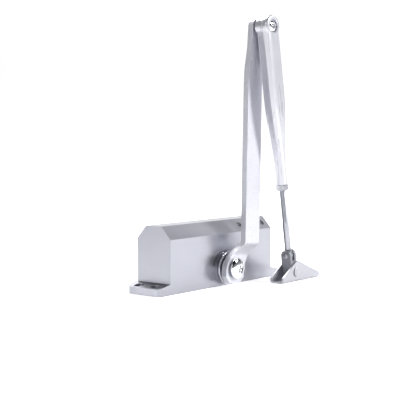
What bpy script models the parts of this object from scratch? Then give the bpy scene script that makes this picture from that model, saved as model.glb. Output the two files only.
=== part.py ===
"""Overhead door closer with a regular arm.

Frame: origin on the mounting face, at the centre of the four screw holes.
+X runs along the body, +Z points away from the mounting face, and the arm is on the -Y side.
"""
import math

import bmesh
import bpy
from mathutils import Matrix

MM = 0.001

# Gap between pieces that touch, and the running clearance of a turning or sliding piece.
GAP = 0.3 * MM

# Housing casting.
BODY_LENGTH = 152 * MM
BODY_DEPTH = 39 * MM
BODY_HEIGHT = 60 * MM
CHAMFER_RUN = 10.2 * MM
CHAMFER_DROP = 11.4 * MM
EAR_LENGTH = 15 * MM
EAR_ROOT_HEIGHT = 9.5 * MM
EAR_TIP_HEIGHT = 6.6 * MM
EAR_CORNER_RADIUS = 5.5 * MM
EAR_HOLE_INSET = 9 * MM
EAR_HOLE_SPACING = 19 * MM
EAR_HOLE_DIAMETER = 5.4 * MM
EAR_SINK_DIAMETER = 9 * MM
EAR_SINK_DEPTH = 2 * MM
BOSS_WALL = 2 * MM
BOSS_HEIGHT = 3.8 * MM

# Cylinder and its closing plug.
BORE_DIAMETER = 28 * MM
BORE_HEIGHT = 36 * MM
BORE_END_WALL = 7 * MM
PLUG_SEAT_STEP = 1.5 * MM
PLUG_SOCKET_ACROSS = 10 * MM
PLUG_SOCKET_DEPTH = 8 * MM
ORING_SECTION = 2 * MM

# Spindle and pinion.
SPINDLE_X = 1 * MM
SPINDLE_Z = 17.3 * MM
PINION_TEETH = 12
PINION_ROOT_WALL = 0.35 * MM
PRESSURE_ANGLE = math.radians(20)
PINION_ADDENDUM = 1.1 * MM
RACK_ADDENDUM = 0.8 * MM
TOOTH_ROOT_CLEARANCE = 0.35 * MM
TOOTH_BACKLASH = 0.24 * MM
PINION_WIDTH = 13 * MM
SHAFT_DIAMETER = 12 * MM
SPINDLE_SQUARE_INSET = 0.2 * MM
SPINDLE_THREAD_HOLE = 5.6 * MM
SPINDLE_THREAD_DEPTH = 10 * MM

# Bearings, seals and gland rings: the same set on each side of the housing.
BEARING_WALL = 4 * MM
BEARING_WIDTH = 3.6 * MM
SEAL_WALL = 4 * MM
SEAL_WIDTH = 3 * MM
GLAND_THREAD_DIAMETER = 28 * MM
GLAND_THREAD_LENGTH = 3.3 * MM
GLAND_RIM_STEP = 1.5 * MM
GLAND_RIM_HEIGHT = 2.4 * MM
GLAND_RIM_WALL = 2.2 * MM
GLAND_RECESS_DEPTH = 1.9 * MM
CAP_HEIGHT = 8.5 * MM
CAP_WALL = 1.5 * MM

# Piston and main spring.
PISTON_TRAVEL_ANGLE = math.radians(170)
PISTON_LEFT_LAND = 10 * MM
PISTON_RIGHT_LAND = 20 * MM
PISTON_PINION_ROOM = 2.4 * MM
SPRING_SEAT_DIAMETER = 15 * MM
SPRING_SEAT_DEPTH = 6 * MM
SPRING_CLEARANCE = 2 * MM
SPRING_WIRE = 3.2 * MM
SPRING_TURNS = 6
CHECK_BALL_CLEARANCE = 0.75 * MM
CHECK_BORE_DEPTH = 12 * MM
CHECK_BALL_DIAMETER = 5 * MM
CHECK_PASSAGE_DIAMETER = 3 * MM
CHECK_CAGE_LENGTH = 3 * MM

# Regulating valves in the chamfer.
CLOSING_VALVE_X = 31 * MM
LATCHING_VALVE_X = 66.5 * MM
VALVE_HOLE_DIAMETER = 6.6 * MM
VALVE_FLOOR_WALL = 0.93 * MM
VALVE_SINK_DEPTH = 1 * MM
VALVE_PASSAGE_DIAMETER = 2 * MM
VALVE_SLOT_WIDTH = 1 * MM
VALVE_SLOT_DEPTH = 1 * MM
VALVE_GROOVE_WIDTH = 1.7 * MM
VALVE_GROOVE_DEPTH = 1 * MM

# Main arm.
ARM_LENGTH = 222.9 * MM
ARM_LEAN = math.radians(5.4)
ARM_THICKNESS = 5.6 * MM
ARM_WIDTH = 21.5 * MM
ARM_END_WIDTH = 27 * MM
ARM_END_REACH = 14.2 * MM
ARM_END_CHAMFER = 6 * MM
ARM_TOP_RADIUS = 8.5 * MM
ARM_STANDOFF = 1.2 * MM
ARM_STEP = 8.5 * MM
ARM_STEP_START = 11.5 * MM
ARM_STEP_END = 25 * MM
ARM_TOP_STEP = 2 * MM
ARM_TOP_STEP_START = 175 * MM
ARM_TOP_STEP_END = 207 * MM
ARM_CRANK = 12.3 * MM
ARM_CRANK_FADE = 215 * MM
ARM_SCREW_LENGTH = 9 * MM
ARM_SCREW_HEAD_DIAMETER = 19.2 * MM
ARM_SCREW_HEAD_HEIGHT = 3.8 * MM
ARM_WASHER_DIAMETER = 18 * MM
WASHER_THICKNESS = 0.8 * MM
CROSS_ARM_WIDTH = 2 * MM
CROSS_ARM_LENGTH = 8 * MM
CROSS_DEPTH = 2 * MM

# Elbow.
ELBOW_WASHER_DIAMETER = 14 * MM
ELBOW_WASHER_THICKNESS = 1 * MM
ELBOW_BUSH_WALL = 1.5 * MM
ELBOW_SCREW_DIAMETER = 6 * MM
ELBOW_SCREW_HEAD_DIAMETER = 10.6 * MM
ELBOW_SCREW_HEAD_HEIGHT = 2.6 * MM
ELBOW_SINK_CLEARANCE = 0.9 * MM
ELBOW_SINK_DEPTH = 3 * MM

# Forearm, rod and lock nut.
ROD_LEAN = math.radians(9.8)
FOREARM_HEAD_RADIUS = 10.4 * MM
FOREARM_HUB_RADIUS = 8.5 * MM
FOREARM_FACE_DEPTH = 6.2 * MM
FOREARM_DEPTH = 15.4 * MM
FOREARM_WIDTH = 20.4 * MM
FOREARM_BACK_SHARE = 0.72
FOREARM_NECK_DIAMETER = 10.8 * MM
FOREARM_TAPER_START = 62 * MM
FOREARM_TAPER_END = 134 * MM
FOREARM_LENGTH = 147.5 * MM
ROD_DIAMETER = 6 * MM
ROD_ENGAGEMENT = 42 * MM
ROD_ADJUST_IN = 10 * MM
ROD_EYE_THICKNESS = 2.8 * MM
ROD_EYE_WIDTH = 9 * MM
ROD_EYE_LENGTH = 7 * MM
LOCK_NUT_ACROSS = 10 * MM
LOCK_NUT_HEIGHT = 5.2 * MM

# Link, shoe and their pins.
LINK_PIN_TO_SHOE_PIN = 16.2 * MM
LINK_PLATE = 3.4 * MM
LINK_DEPTH = 11 * MM
LINK_TAIL = 4.6 * MM
LINK_PIN_DIAMETER = 3.6 * MM
LINK_PIN_HEAD_DIAMETER = 5.6 * MM
LINK_PIN_HEAD_HEIGHT = 0.8 * MM
SHOE_PIN_DIAMETER = 4 * MM
SHOE_PIN_HEAD_DIAMETER = 9 * MM
SHOE_PIN_HEAD_HEIGHT = 1.1 * MM
SHOE_PIN_HEIGHT = 9.4 * MM
SHOE_SHEET = 1.6 * MM
SHOE_LEFT_REACH = 22.5 * MM
SHOE_RIGHT_REACH = 40.5 * MM
SHOE_WALL_HEIGHT = 19.6 * MM
SHOE_PEAK_SHIFT = 2 * MM
SHOE_END_HEIGHT = 5.2 * MM
SHOE_SCREW_HOLE = 4.4 * MM
SHOE_HOLE_INSET = 6.5 * MM

# Number of flats on round pieces, by size.
SMALL_ROUND = 20
LARGE_ROUND = 36

# Places worked out from the sizes above.
HALF_LENGTH = BODY_LENGTH / 2
HALF_DEPTH = BODY_DEPTH / 2
PLUG_SEAT_DIAMETER = BORE_DIAMETER + 2 * PLUG_SEAT_STEP
SPRING_DIAMETER = BORE_DIAMETER - 2 * SPRING_CLEARANCE
CHECK_BORE_DIAMETER = CHECK_BALL_DIAMETER + 2 * CHECK_BALL_CLEARANCE
CHAMFER_TILT = math.atan2(CHAMFER_DROP, CHAMFER_RUN)
CHAMFER_OUT = (HALF_DEPTH - CHAMFER_RUN / 2) * math.sin(CHAMFER_TILT)
CHAMFER_UP = (BODY_HEIGHT - CHAMFER_DROP / 2 - BORE_HEIGHT) * math.cos(CHAMFER_TILT)
VALVE_HOLE_DEPTH = CHAMFER_OUT + CHAMFER_UP - PLUG_SEAT_DIAMETER / 2 - VALVE_FLOOR_WALL
VALVE_LENGTH = VALVE_HOLE_DEPTH - GAP - VALVE_SINK_DEPTH
BEARING_DIAMETER = SHAFT_DIAMETER + 2 * BEARING_WALL
SEAL_DIAMETER = SHAFT_DIAMETER + 2 * SEAL_WALL
SPINDLE_SQUARE = (SHAFT_DIAMETER - 2 * SPINDLE_SQUARE_INSET) / math.sqrt(2)
GLAND_RIM_DIAMETER = GLAND_THREAD_DIAMETER + 2 * GLAND_RIM_STEP
BOSS_DIAMETER = GLAND_THREAD_DIAMETER + 2 * BOSS_WALL
ELBOW_SINK_DIAMETER = ELBOW_SCREW_HEAD_DIAMETER + 2 * ELBOW_SINK_CLEARANCE
PITCH_RADIUS = SHAFT_DIAMETER / 2 + PINION_ROOT_WALL + TOOTH_ROOT_CLEARANCE + RACK_ADDENDUM
PINION_TIP_RADIUS = PITCH_RADIUS + PINION_ADDENDUM
PINION_ROOT_RADIUS = PITCH_RADIUS - RACK_ADDENDUM - TOOTH_ROOT_CLEARANCE
TOOTH_PITCH = 2 * math.pi * PITCH_RADIUS / PINION_TEETH
TOOTH_THICKNESS = (TOOTH_PITCH - TOOTH_BACKLASH) / 2
PISTON_TRAVEL = PITCH_RADIUS * PISTON_TRAVEL_ANGLE
RACK_LEFT = SPINDLE_X - PINION_TIP_RADIUS - PISTON_PINION_ROOM
RACK_RIGHT = SPINDLE_X + PINION_TIP_RADIUS + PISTON_PINION_ROOM + PISTON_TRAVEL
PISTON_LEFT = RACK_LEFT - PISTON_LEFT_LAND
PISTON_RIGHT = RACK_RIGHT + PISTON_RIGHT_LAND
PLUG_SEAT_START = PISTON_RIGHT + GAP
BORE_LEFT = -HALF_LENGTH + BORE_END_WALL
BOSS_FACE = HALF_DEPTH + BOSS_HEIGHT
GLAND_START = BOSS_FACE - GLAND_THREAD_LENGTH
BEARING_START = GLAND_START - GAP - BEARING_WIDTH
GLAND_FRONT = BOSS_FACE + GLAND_RIM_HEIGHT
ARM_BACK = GLAND_FRONT + ARM_STANDOFF
ARM_FRONT = ARM_BACK + ARM_THICKNESS
ARM_TOP_FRONT = ARM_FRONT + ARM_STEP + ARM_TOP_STEP
FOREARM_BACK = ARM_TOP_FRONT + ELBOW_WASHER_THICKNESS + 2 * GAP
FOREARM_FRONT = FOREARM_BACK + FOREARM_DEPTH
ROD_Y = -(FOREARM_BACK + FOREARM_FRONT) / 2
ELBOW_BUSH_DIAMETER = ELBOW_SCREW_DIAMETER + 2 * GAP + 2 * ELBOW_BUSH_WALL
ELBOW_HEIGHT = SPINDLE_Z + ARM_LENGTH * math.cos(ARM_LEAN)
ELBOW_TO_LINK_PIN = (ELBOW_HEIGHT - SHOE_PIN_HEIGHT) / math.cos(ROD_LEAN) - LINK_PIN_TO_SHOE_PIN
LINK_SLOT = ROD_EYE_THICKNESS + 2 * GAP
LINK_WIDTH = LINK_SLOT + 2 * LINK_PLATE
SHOE_INNER_HALF = LINK_DEPTH / 2 + GAP
SHOE_OUTER_HALF = SHOE_INNER_HALF + SHOE_SHEET

# Turns a shape made in its own XY plane, with +Z as its length, to lie along the body or towards the arm.
ALONG_X = Matrix(((0, 0, 1), (1, 0, 0), (0, 1, 0))).to_4x4()
ALONG_FRONT = Matrix.Rotation(math.radians(90), 4, "X")
ALONG_REAR = Matrix.Rotation(math.radians(-90), 4, "X")
UPRIGHT = Matrix.Identity(4)

# Colour, roughness and metallic value of each finish.
FINISHES = {
    "cast_silver": ((0.70, 0.71, 0.76), 0.42, 0.8),
    "steel_silver": ((0.76, 0.77, 0.82), 0.36, 0.85),
    "zinc_plate": ((0.80, 0.81, 0.84), 0.28, 1.0),
    "chrome": ((0.88, 0.89, 0.90), 0.10, 1.0),
    "plain_steel": ((0.45, 0.45, 0.47), 0.35, 1.0),
    "spring_steel": ((0.20, 0.20, 0.22), 0.40, 1.0),
    "bronze": ((0.60, 0.42, 0.22), 0.40, 1.0),
    "rubber": ((0.02, 0.02, 0.02), 0.80, 0.0),
    "grey_plastic": ((0.40, 0.41, 0.44), 0.50, 0.0),
}


def clear_scene():
    for item in list(bpy.data.objects):
        bpy.data.objects.remove(item, do_unlink=True)


def add_frame(name, parent, location, tilt_x=0.0, tilt_y=0.0):
    """An empty on a joint's axis. Pieces that move together hang from it."""
    empty = bpy.data.objects.new(name, None)
    bpy.context.collection.objects.link(empty)
    empty.parent = parent
    empty.location = location
    empty.rotation_euler = (tilt_x, tilt_y, 0.0)
    return empty


def finish_material(name, finish):
    colour, roughness, metallic = FINISHES[finish]
    material = bpy.data.materials.new(name)
    material.use_nodes = True
    shader = material.node_tree.nodes["Principled BSDF"]
    shader.inputs["Base Color"].default_value = (*colour, 1.0)
    shader.inputs["Roughness"].default_value = roughness
    shader.inputs["Metallic"].default_value = metallic
    return material


def add_object(name, bm, parent, location=(0, 0, 0)):
    bmesh.ops.remove_doubles(bm, verts=bm.verts, dist=1e-7)
    bmesh.ops.recalc_face_normals(bm, faces=bm.faces)
    mesh = bpy.data.meshes.new(name)
    bm.to_mesh(mesh)
    bm.free()
    mesh.shade_smooth()
    mesh.set_sharp_from_angle(angle=math.radians(35))
    item = bpy.data.objects.new(name, mesh)
    bpy.context.collection.objects.link(item)
    item.parent = parent
    item.location = location
    return item


def add_part(name, finish, bm, parent, location=(0, 0, 0)):
    item = add_object(name, bm, parent, location)
    item.data.materials.append(finish_material(name, finish))
    return item


def add_tool(name, bm, parent, location=(0, 0, 0)):
    """A hidden shape that a Boolean cuts away or joins on."""
    item = add_object(name, bm, parent, location)
    item.display_type = "WIRE"
    item.hide_render = True
    return item


def combine(target, tool, operation):
    modifier = target.modifiers.new(tool.name, "BOOLEAN")
    modifier.operation = operation
    modifier.object = tool


def turned(profile, turn=UPRIGHT, flats=SMALL_ROUND, ring=False):
    """Spin (radius, length) points about the length axis. A ring's profile closes on itself."""
    bm = bmesh.new()
    verts = [bm.verts.new((radius, 0.0, length)) for radius, length in profile]
    edges = [bm.edges.new(pair) for pair in zip(verts, verts[1:])]
    if ring:
        edges.append(bm.edges.new((verts[-1], verts[0])))
    bmesh.ops.spin(bm, geom=verts + edges, cent=(0, 0, 0), axis=(0, 0, 1),
                   angle=math.tau, steps=flats, use_merge=True)
    bmesh.ops.transform(bm, matrix=turn, verts=bm.verts)
    return bm


def cylinder(radius, start, end, turn=UPRIGHT, flats=SMALL_ROUND):
    return turned([(0, start), (radius, start), (radius, end), (0, end)], turn, flats)


def tube(inner, outer, start, end, turn=UPRIGHT, flats=SMALL_ROUND):
    return turned([(inner, start), (outer, start), (outer, end), (inner, end)], turn, flats, ring=True)


def prism(outline, start, end, turn=UPRIGHT):
    """Extrude an outline of (x, y) points from start to end."""
    bm = bmesh.new()
    face = bm.faces.new([bm.verts.new((x, y, start)) for x, y in outline])
    grown = bmesh.ops.extrude_face_region(bm, geom=[face])
    tops = [item for item in grown["geom"] if isinstance(item, bmesh.types.BMVert)]
    bmesh.ops.translate(bm, vec=(0, 0, end - start), verts=tops)
    bmesh.ops.transform(bm, matrix=turn, verts=bm.verts)
    return bm


def box(x_range, y_range, z_range):
    (x0, x1), (y0, y1) = x_range, y_range
    return prism([(x0, y0), (x1, y0), (x1, y1), (x0, y1)], *z_range)


def torus(radius, section_radius, centre, turn=UPRIGHT, flats=24, sides=8):
    steps = [math.tau * index / sides for index in range(sides)]
    profile = [(radius + section_radius * math.cos(a), centre + section_radius * math.sin(a)) for a in steps]
    return turned(profile, turn, flats, ring=True)


def arc(centre, radius, start_deg, end_deg, steps):
    """Points on an arc, both ends included."""
    angles = [math.radians(start_deg + (end_deg - start_deg) * i / steps) for i in range(steps + 1)]
    return [(centre[0] + radius * math.cos(a), centre[1] + radius * math.sin(a)) for a in angles]


def hexagon(across_flats):
    return arc((0, 0), across_flats / math.sqrt(3), 0, 300, 5)


def square(side):
    half = side / 2
    return [(-half, -half), (half, -half), (half, half), (-half, half)]


def cross(arm_length, arm_width):
    """Outline of a cross-slot recess."""
    far, near = arm_length / 2, arm_width / 2
    quarter = [(far, -near), (far, near), (near, near)]
    outline = []
    for turn in range(4):
        c, s = round(math.cos(turn * math.pi / 2)), round(math.sin(turn * math.pi / 2))
        outline += [(c * x - s * y, s * x + c * y) for x, y in quarter]
    return outline


def smooth_step(value, start, end):
    share = min(max((value - start) / (end - start), 0.0), 1.0)
    return share * share * (3 - 2 * share)


# ---- Housing and what is fixed in it ----

def ear(side):
    """Screw ear at one end: round corners, and a top that slopes down to the tip."""
    root = HALF_LENGTH - EAR_LENGTH / 2
    tip = HALF_LENGTH + EAR_LENGTH
    corner = EAR_CORNER_RADIUS
    outline = [(root, -HALF_DEPTH)]
    outline += arc((tip - corner, -HALF_DEPTH + corner), corner, -90, 0, 4)
    outline += arc((tip - corner, HALF_DEPTH - corner), corner, 0, 90, 4)
    outline += [(root, HALF_DEPTH)]
    bm = prism(outline, 0, EAR_TIP_HEIGHT)
    slope = (EAR_ROOT_HEIGHT - EAR_TIP_HEIGHT) / EAR_LENGTH
    for vert in bm.verts:
        if vert.co.z > EAR_TIP_HEIGHT / 2:
            vert.co.z += slope * (tip - vert.co.x)
        vert.co.x *= side
    return bm


def ear_hole():
    shaft, sink = EAR_HOLE_DIAMETER / 2, EAR_SINK_DIAMETER / 2
    top = EAR_TIP_HEIGHT + (EAR_ROOT_HEIGHT - EAR_TIP_HEIGHT) * EAR_HOLE_INSET / EAR_LENGTH
    low = top - EAR_SINK_DEPTH
    return turned([(0, -top), (shaft, -top), (shaft, low), (sink, low), (sink, 2 * top), (0, 2 * top)])


def valve_hole():
    hole, passage = VALVE_HOLE_DIAMETER / 2, VALVE_PASSAGE_DIAMETER / 2
    deep = VALVE_HOLE_DEPTH + BORE_DIAMETER / 3
    return turned([(0, -deep), (passage, -deep), (passage, -VALVE_HOLE_DEPTH), (hole, -VALVE_HOLE_DEPTH),
                   (hole, BORE_END_WALL), (0, BORE_END_WALL)])


def spindle_bore():
    """Pinion chamber in the middle, then a bearing seat and a gland thread on each side."""
    chamber = PINION_TIP_RADIUS + 2 * GAP
    half = [(chamber, BEARING_START - GAP), (BEARING_DIAMETER / 2, BEARING_START - GAP),
            (BEARING_DIAMETER / 2, GLAND_START - GAP), (GLAND_THREAD_DIAMETER / 2, GLAND_START - GAP),
            (GLAND_THREAD_DIAMETER / 2, BODY_DEPTH), (0, BODY_DEPTH)]
    other = [(radius, -length) for radius, length in reversed(half)]
    return turned(other + half, ALONG_FRONT, LARGE_ROUND)


def piston_bore():
    bore, seat = BORE_DIAMETER / 2, PLUG_SEAT_DIAMETER / 2
    return turned([(0, BORE_LEFT), (bore, BORE_LEFT), (bore, PLUG_SEAT_START), (seat, PLUG_SEAT_START),
                   (seat, BODY_LENGTH), (0, BODY_LENGTH)], ALONG_X, LARGE_ROUND)


def make_housing(valve_frames):
    top = BODY_HEIGHT
    section = [(-HALF_DEPTH, 0), (HALF_DEPTH, 0), (HALF_DEPTH, top - CHAMFER_DROP),
               (HALF_DEPTH - CHAMFER_RUN, top), (-HALF_DEPTH + CHAMFER_RUN, top),
               (-HALF_DEPTH, top - CHAMFER_DROP)]
    housing = add_part("housing", "cast_silver", prism(section, -HALF_LENGTH, HALF_LENGTH, ALONG_X), None)
    for side in (-1, 1):
        combine(housing, add_tool(f"ear_{side}", ear(side), None), "UNION")
    boss = cylinder(BOSS_DIAMETER / 2, -BOSS_FACE, BOSS_FACE, ALONG_FRONT, LARGE_ROUND)
    combine(housing, add_tool("boss_tool", boss, None, (SPINDLE_X, 0, SPINDLE_Z)), "UNION")
    combine(housing, add_tool("bore_tool", piston_bore(), None, (0, 0, BORE_HEIGHT)), "DIFFERENCE")
    spindle_tool = add_tool("spindle_tool", spindle_bore(), None, (SPINDLE_X, 0, SPINDLE_Z))
    combine(housing, spindle_tool, "DIFFERENCE")
    for side in (-1, 1):
        for across in (-1, 1):
            place = (side * (HALF_LENGTH + EAR_HOLE_INSET), across * EAR_HOLE_SPACING / 2, 0)
            tool = add_tool(f"ear_hole_{side}_{across}", ear_hole(), None, place)
            combine(housing, tool, "DIFFERENCE")
    for name, frame in valve_frames.items():
        combine(housing, add_tool(f"{name}_tool", valve_hole(), frame), "DIFFERENCE")


def make_end_plug():
    outer = PLUG_SEAT_DIAMETER / 2 - GAP
    start, end = PLUG_SEAT_START + GAP, HALF_LENGTH - GAP
    groove = start + 2 * ORING_SECTION
    floor = outer - ORING_SECTION
    profile = [(0, start), (outer, start), (outer, groove - ORING_SECTION), (floor, groove - ORING_SECTION),
               (floor, groove + ORING_SECTION), (outer, groove + ORING_SECTION), (outer, end), (0, end)]
    place = (0, 0, BORE_HEIGHT)
    plug = add_part("end_plug", "plain_steel", turned(profile, ALONG_X, LARGE_ROUND), None, place)
    socket = prism(hexagon(PLUG_SOCKET_ACROSS), end - PLUG_SOCKET_DEPTH, end + BORE_END_WALL, ALONG_X)
    combine(plug, add_tool("socket_tool", socket, None, place), "DIFFERENCE")
    section = ORING_SECTION / 2 - GAP / 2
    add_part("end_plug_oring", "rubber", torus(outer - section, section, groove, ALONG_X), None, place)


def gland_ring(turn):
    bore = SEAL_DIAMETER / 2 + GAP
    thread = GLAND_THREAD_DIAMETER / 2 - GAP
    rim = GLAND_RIM_DIAMETER / 2
    face = BOSS_FACE + GAP
    floor = GLAND_FRONT - GLAND_RECESS_DEPTH
    recess = rim - GLAND_RIM_WALL
    return turned([(bore, GLAND_START), (thread, GLAND_START), (thread, face), (rim, face),
                   (rim, GLAND_FRONT), (recess, GLAND_FRONT), (recess, floor), (bore, floor)],
                  turn, LARGE_ROUND, ring=True)


def make_spindle_fittings():
    place = (SPINDLE_X, 0, SPINDLE_Z)
    shaft = SHAFT_DIAMETER / 2 + GAP
    seal_end = BOSS_FACE
    for end, turn in (("front", ALONG_FRONT), ("rear", ALONG_REAR)):
        bearing_end = BEARING_START + BEARING_WIDTH
        bearing = tube(shaft, BEARING_DIAMETER / 2 - GAP, BEARING_START, bearing_end, turn, 24)
        add_part(f"bearing_{end}", "bronze", bearing, None, place)
        seal = tube(shaft, SEAL_DIAMETER / 2, seal_end - SEAL_WIDTH, seal_end, turn, 24)
        add_part(f"spindle_seal_{end}", "rubber", seal, None, place)
        add_part(f"gland_ring_{end}", "cast_silver", gland_ring(turn), None, place)


def make_dust_cap():
    """Cup pressed into the rear gland ring, over the unused end of the spindle."""
    outer = GLAND_RIM_DIAMETER / 2 - GLAND_RIM_WALL - GAP
    inner = outer - CAP_WALL
    start = GLAND_FRONT - GLAND_RECESS_DEPTH + GAP
    end = start + CAP_HEIGHT
    profile = [(0, end - CAP_WALL), (inner, end - CAP_WALL), (inner, start), (outer, start),
               (outer, end - CAP_WALL), (outer - CAP_WALL, end), (0, end)]
    add_part("dust_cap", "grey_plastic", turned(profile, ALONG_REAR, 28), None, (SPINDLE_X, 0, SPINDLE_Z))


def make_valve(name, frame):
    radius = VALVE_HOLE_DIAMETER / 2 - GAP
    floor = radius - VALVE_GROOVE_DEPTH
    bottom = -VALVE_HOLE_DEPTH + GAP
    top = bottom + VALVE_LENGTH
    groove = (bottom + top) / 2 - VALVE_GROOVE_WIDTH / 2
    low, high = groove, groove + VALVE_GROOVE_WIDTH
    profile = [(0, bottom), (radius, bottom), (radius, low), (floor, low), (floor, high), (radius, high),
               (radius, top), (0, top)]
    valve = add_part(name, "plain_steel", turned(profile), frame)
    width, deep = VALVE_SLOT_WIDTH / 2, VALVE_SLOT_DEPTH
    slot = box((-radius * 2, radius * 2), (-width, width), (top - deep, top + deep))
    combine(valve, add_tool(f"{name}_slot", slot, frame), "DIFFERENCE")
    section = (VALVE_GROOVE_DEPTH - GAP / 2) / 2
    ring = torus(radius + GAP / 2 - section, section, (low + high) / 2, UPRIGHT, 16, 6)
    add_part(f"{name}_oring", "rubber", ring, frame)


# ---- Pinion, piston and spring ----

def involute_angle(radius):
    """Angle between a tooth's flank at this radius and where its involute starts."""
    base = PITCH_RADIUS * math.cos(PRESSURE_ANGLE)
    if radius <= base:
        return 0.0
    roll = math.acos(base / radius)
    return math.tan(roll) - roll


def pinion_outline():
    """Twelve involute teeth with a gap at the top, where the rack's tooth sits at rest."""
    half_tooth = TOOTH_THICKNESS / (2 * PITCH_RADIUS) + involute_angle(PITCH_RADIUS)
    radii = [PINION_ROOT_RADIUS + (PINION_TIP_RADIUS - PINION_ROOT_RADIUS) * share / 5 for share in range(6)]
    flank = [(radius, half_tooth - involute_angle(radius)) for radius in radii]
    outline = []
    for tooth in range(PINION_TEETH):
        middle = math.pi / 2 + (tooth + 0.5) * math.tau / PINION_TEETH
        polar = [(radius, middle - angle) for radius, angle in flank]
        polar += [(radius, middle + angle) for radius, angle in reversed(flank)]
        outline += [(radius * math.cos(angle), radius * math.sin(angle)) for radius, angle in polar]
    return outline


def make_pinion_shaft(frame):
    half = PINION_WIDTH / 2
    blank = prism(pinion_outline(), -half, half, ALONG_FRONT)
    pinion = add_part("pinion_shaft", "plain_steel", blank, frame)
    length = GLAND_FRONT - GLAND_RECESS_DEPTH + GAP
    shaft = cylinder(SHAFT_DIAMETER / 2, -length, length, ALONG_FRONT, 24)
    combine(pinion, add_tool("shaft_tool", shaft, frame), "UNION")
    reach = ARM_FRONT - GAP
    rear = GLAND_FRONT + CAP_HEIGHT - GLAND_RECESS_DEPTH - CAP_WALL - 3 * GAP
    drive = prism(square(SPINDLE_SQUARE), -rear, reach, ALONG_FRONT)
    combine(pinion, add_tool("square_tool", drive, frame), "UNION")
    for end, start, stop in (("front", reach - SPINDLE_THREAD_DEPTH, reach + GAP),
                             ("rear", -rear - GAP, -rear + SPINDLE_THREAD_DEPTH / 2)):
        hole = cylinder(SPINDLE_THREAD_HOLE / 2, start, stop, ALONG_FRONT)
        combine(pinion, add_tool(f"spindle_thread_{end}", hole, frame), "DIFFERENCE")


def rack_tool():
    """What is milled off the piston's flank to leave the rack's teeth."""
    pitch_line = SPINDLE_Z + PITCH_RADIUS
    tip = pitch_line - RACK_ADDENDUM
    root = pitch_line + PINION_ADDENDUM + TOOTH_ROOT_CLEARANCE
    slope = math.tan(PRESSURE_ANGLE)
    tip_half = TOOTH_THICKNESS / 2 - RACK_ADDENDUM * slope
    root_half = TOOTH_THICKNESS / 2 + (root - pitch_line) * slope
    low = SPINDLE_Z - BORE_DIAMETER
    first = math.ceil((RACK_LEFT + root_half - SPINDLE_X) / TOOTH_PITCH)
    last = math.floor((RACK_RIGHT - root_half - SPINDLE_X) / TOOTH_PITCH)
    outline = [(RACK_LEFT, low), (RACK_LEFT, root)]
    for tooth in range(first, last + 1):
        x = SPINDLE_X + tooth * TOOTH_PITCH
        outline += [(x - root_half, root), (x - tip_half, tip), (x + tip_half, tip), (x + root_half, root)]
    outline += [(RACK_RIGHT, root), (RACK_RIGHT, low)]
    return prism(outline, -BODY_DEPTH, BODY_DEPTH, ALONG_FRONT)


def make_piston(frame):
    radius = BORE_DIAMETER / 2 - GAP
    seat = SPRING_SEAT_DIAMETER / 2
    bore = CHECK_BORE_DIAMETER / 2
    passage = CHECK_PASSAGE_DIAMETER / 2
    seat_floor = PISTON_LEFT + SPRING_SEAT_DEPTH
    bore_floor = PISTON_RIGHT - CHECK_BORE_DEPTH
    profile = [(passage, seat_floor), (seat, seat_floor), (seat, PISTON_LEFT), (radius, PISTON_LEFT),
               (radius, PISTON_RIGHT), (bore, PISTON_RIGHT), (bore, bore_floor), (passage, bore_floor)]
    piston = add_part("piston", "plain_steel", turned(profile, ALONG_X, LARGE_ROUND, ring=True), frame)
    combine(piston, add_tool("rack_tool", rack_tool(), None), "DIFFERENCE")
    ball = bmesh.new()
    bmesh.ops.create_uvsphere(ball, u_segments=16, v_segments=8, radius=CHECK_BALL_DIAMETER / 2)
    add_part("check_ball", "chrome", ball, frame, (bore_floor + CHECK_BALL_DIAMETER / 2 + GAP, 0, 0))
    cage = tube(passage, bore - GAP, PISTON_RIGHT - GAP - CHECK_CAGE_LENGTH, PISTON_RIGHT - GAP, ALONG_X, 16)
    add_part("check_ball_cage", "plain_steel", cage, frame)


def make_main_spring():
    """Squared coil spring: a closed turn at each end and open turns between."""
    radius = (SPRING_DIAMETER - SPRING_WIRE) / 2
    left = BORE_LEFT + GAP + SPRING_WIRE / 2
    right = PISTON_LEFT - GAP - SPRING_WIRE / 2
    end_pitch = SPRING_WIRE + GAP
    open_pitch = (right - left - 2 * end_pitch) / (SPRING_TURNS - 2)
    steps = 16
    points = []
    for index in range(SPRING_TURNS * steps + 1):
        turns = index / steps
        opened = min(max(turns - 1, 0), SPRING_TURNS - 2)
        x = left + opened * open_pitch + (turns - opened) * end_pitch
        angle = turns * math.tau
        points.append((x, radius * math.cos(angle), radius * math.sin(angle)))
    curve = bpy.data.curves.new("main_spring", "CURVE")
    curve.dimensions = "3D"
    curve.bevel_depth = SPRING_WIRE / 2
    curve.bevel_resolution = 2
    curve.use_fill_caps = True
    spline = curve.splines.new("POLY")
    spline.points.add(len(points) - 1)
    for point, place in zip(spline.points, points):
        point.co = (*place, 1.0)
    spring = bpy.data.objects.new("main_spring", curve)
    bpy.context.collection.objects.link(spring)
    spring.location = (0, 0, BORE_HEIGHT)
    curve.materials.append(finish_material("main_spring", "spring_steel"))


# ---- Main arm ----

def arm_half_width(z):
    if z > ARM_LENGTH:
        return math.sqrt(max(ARM_TOP_RADIUS ** 2 - (z - ARM_LENGTH) ** 2, 0.0))
    bottom = ARM_END_WIDTH / 2 - max(0.0, ARM_END_CHAMFER - (z + ARM_END_REACH))
    bar = bottom + (ARM_WIDTH - ARM_END_WIDTH) / 2 * smooth_step(z, 0, ARM_STEP_END)
    return bar + (ARM_TOP_RADIUS - ARM_WIDTH / 2) * smooth_step(z, ARM_TOP_STEP_START, ARM_LENGTH)


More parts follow.
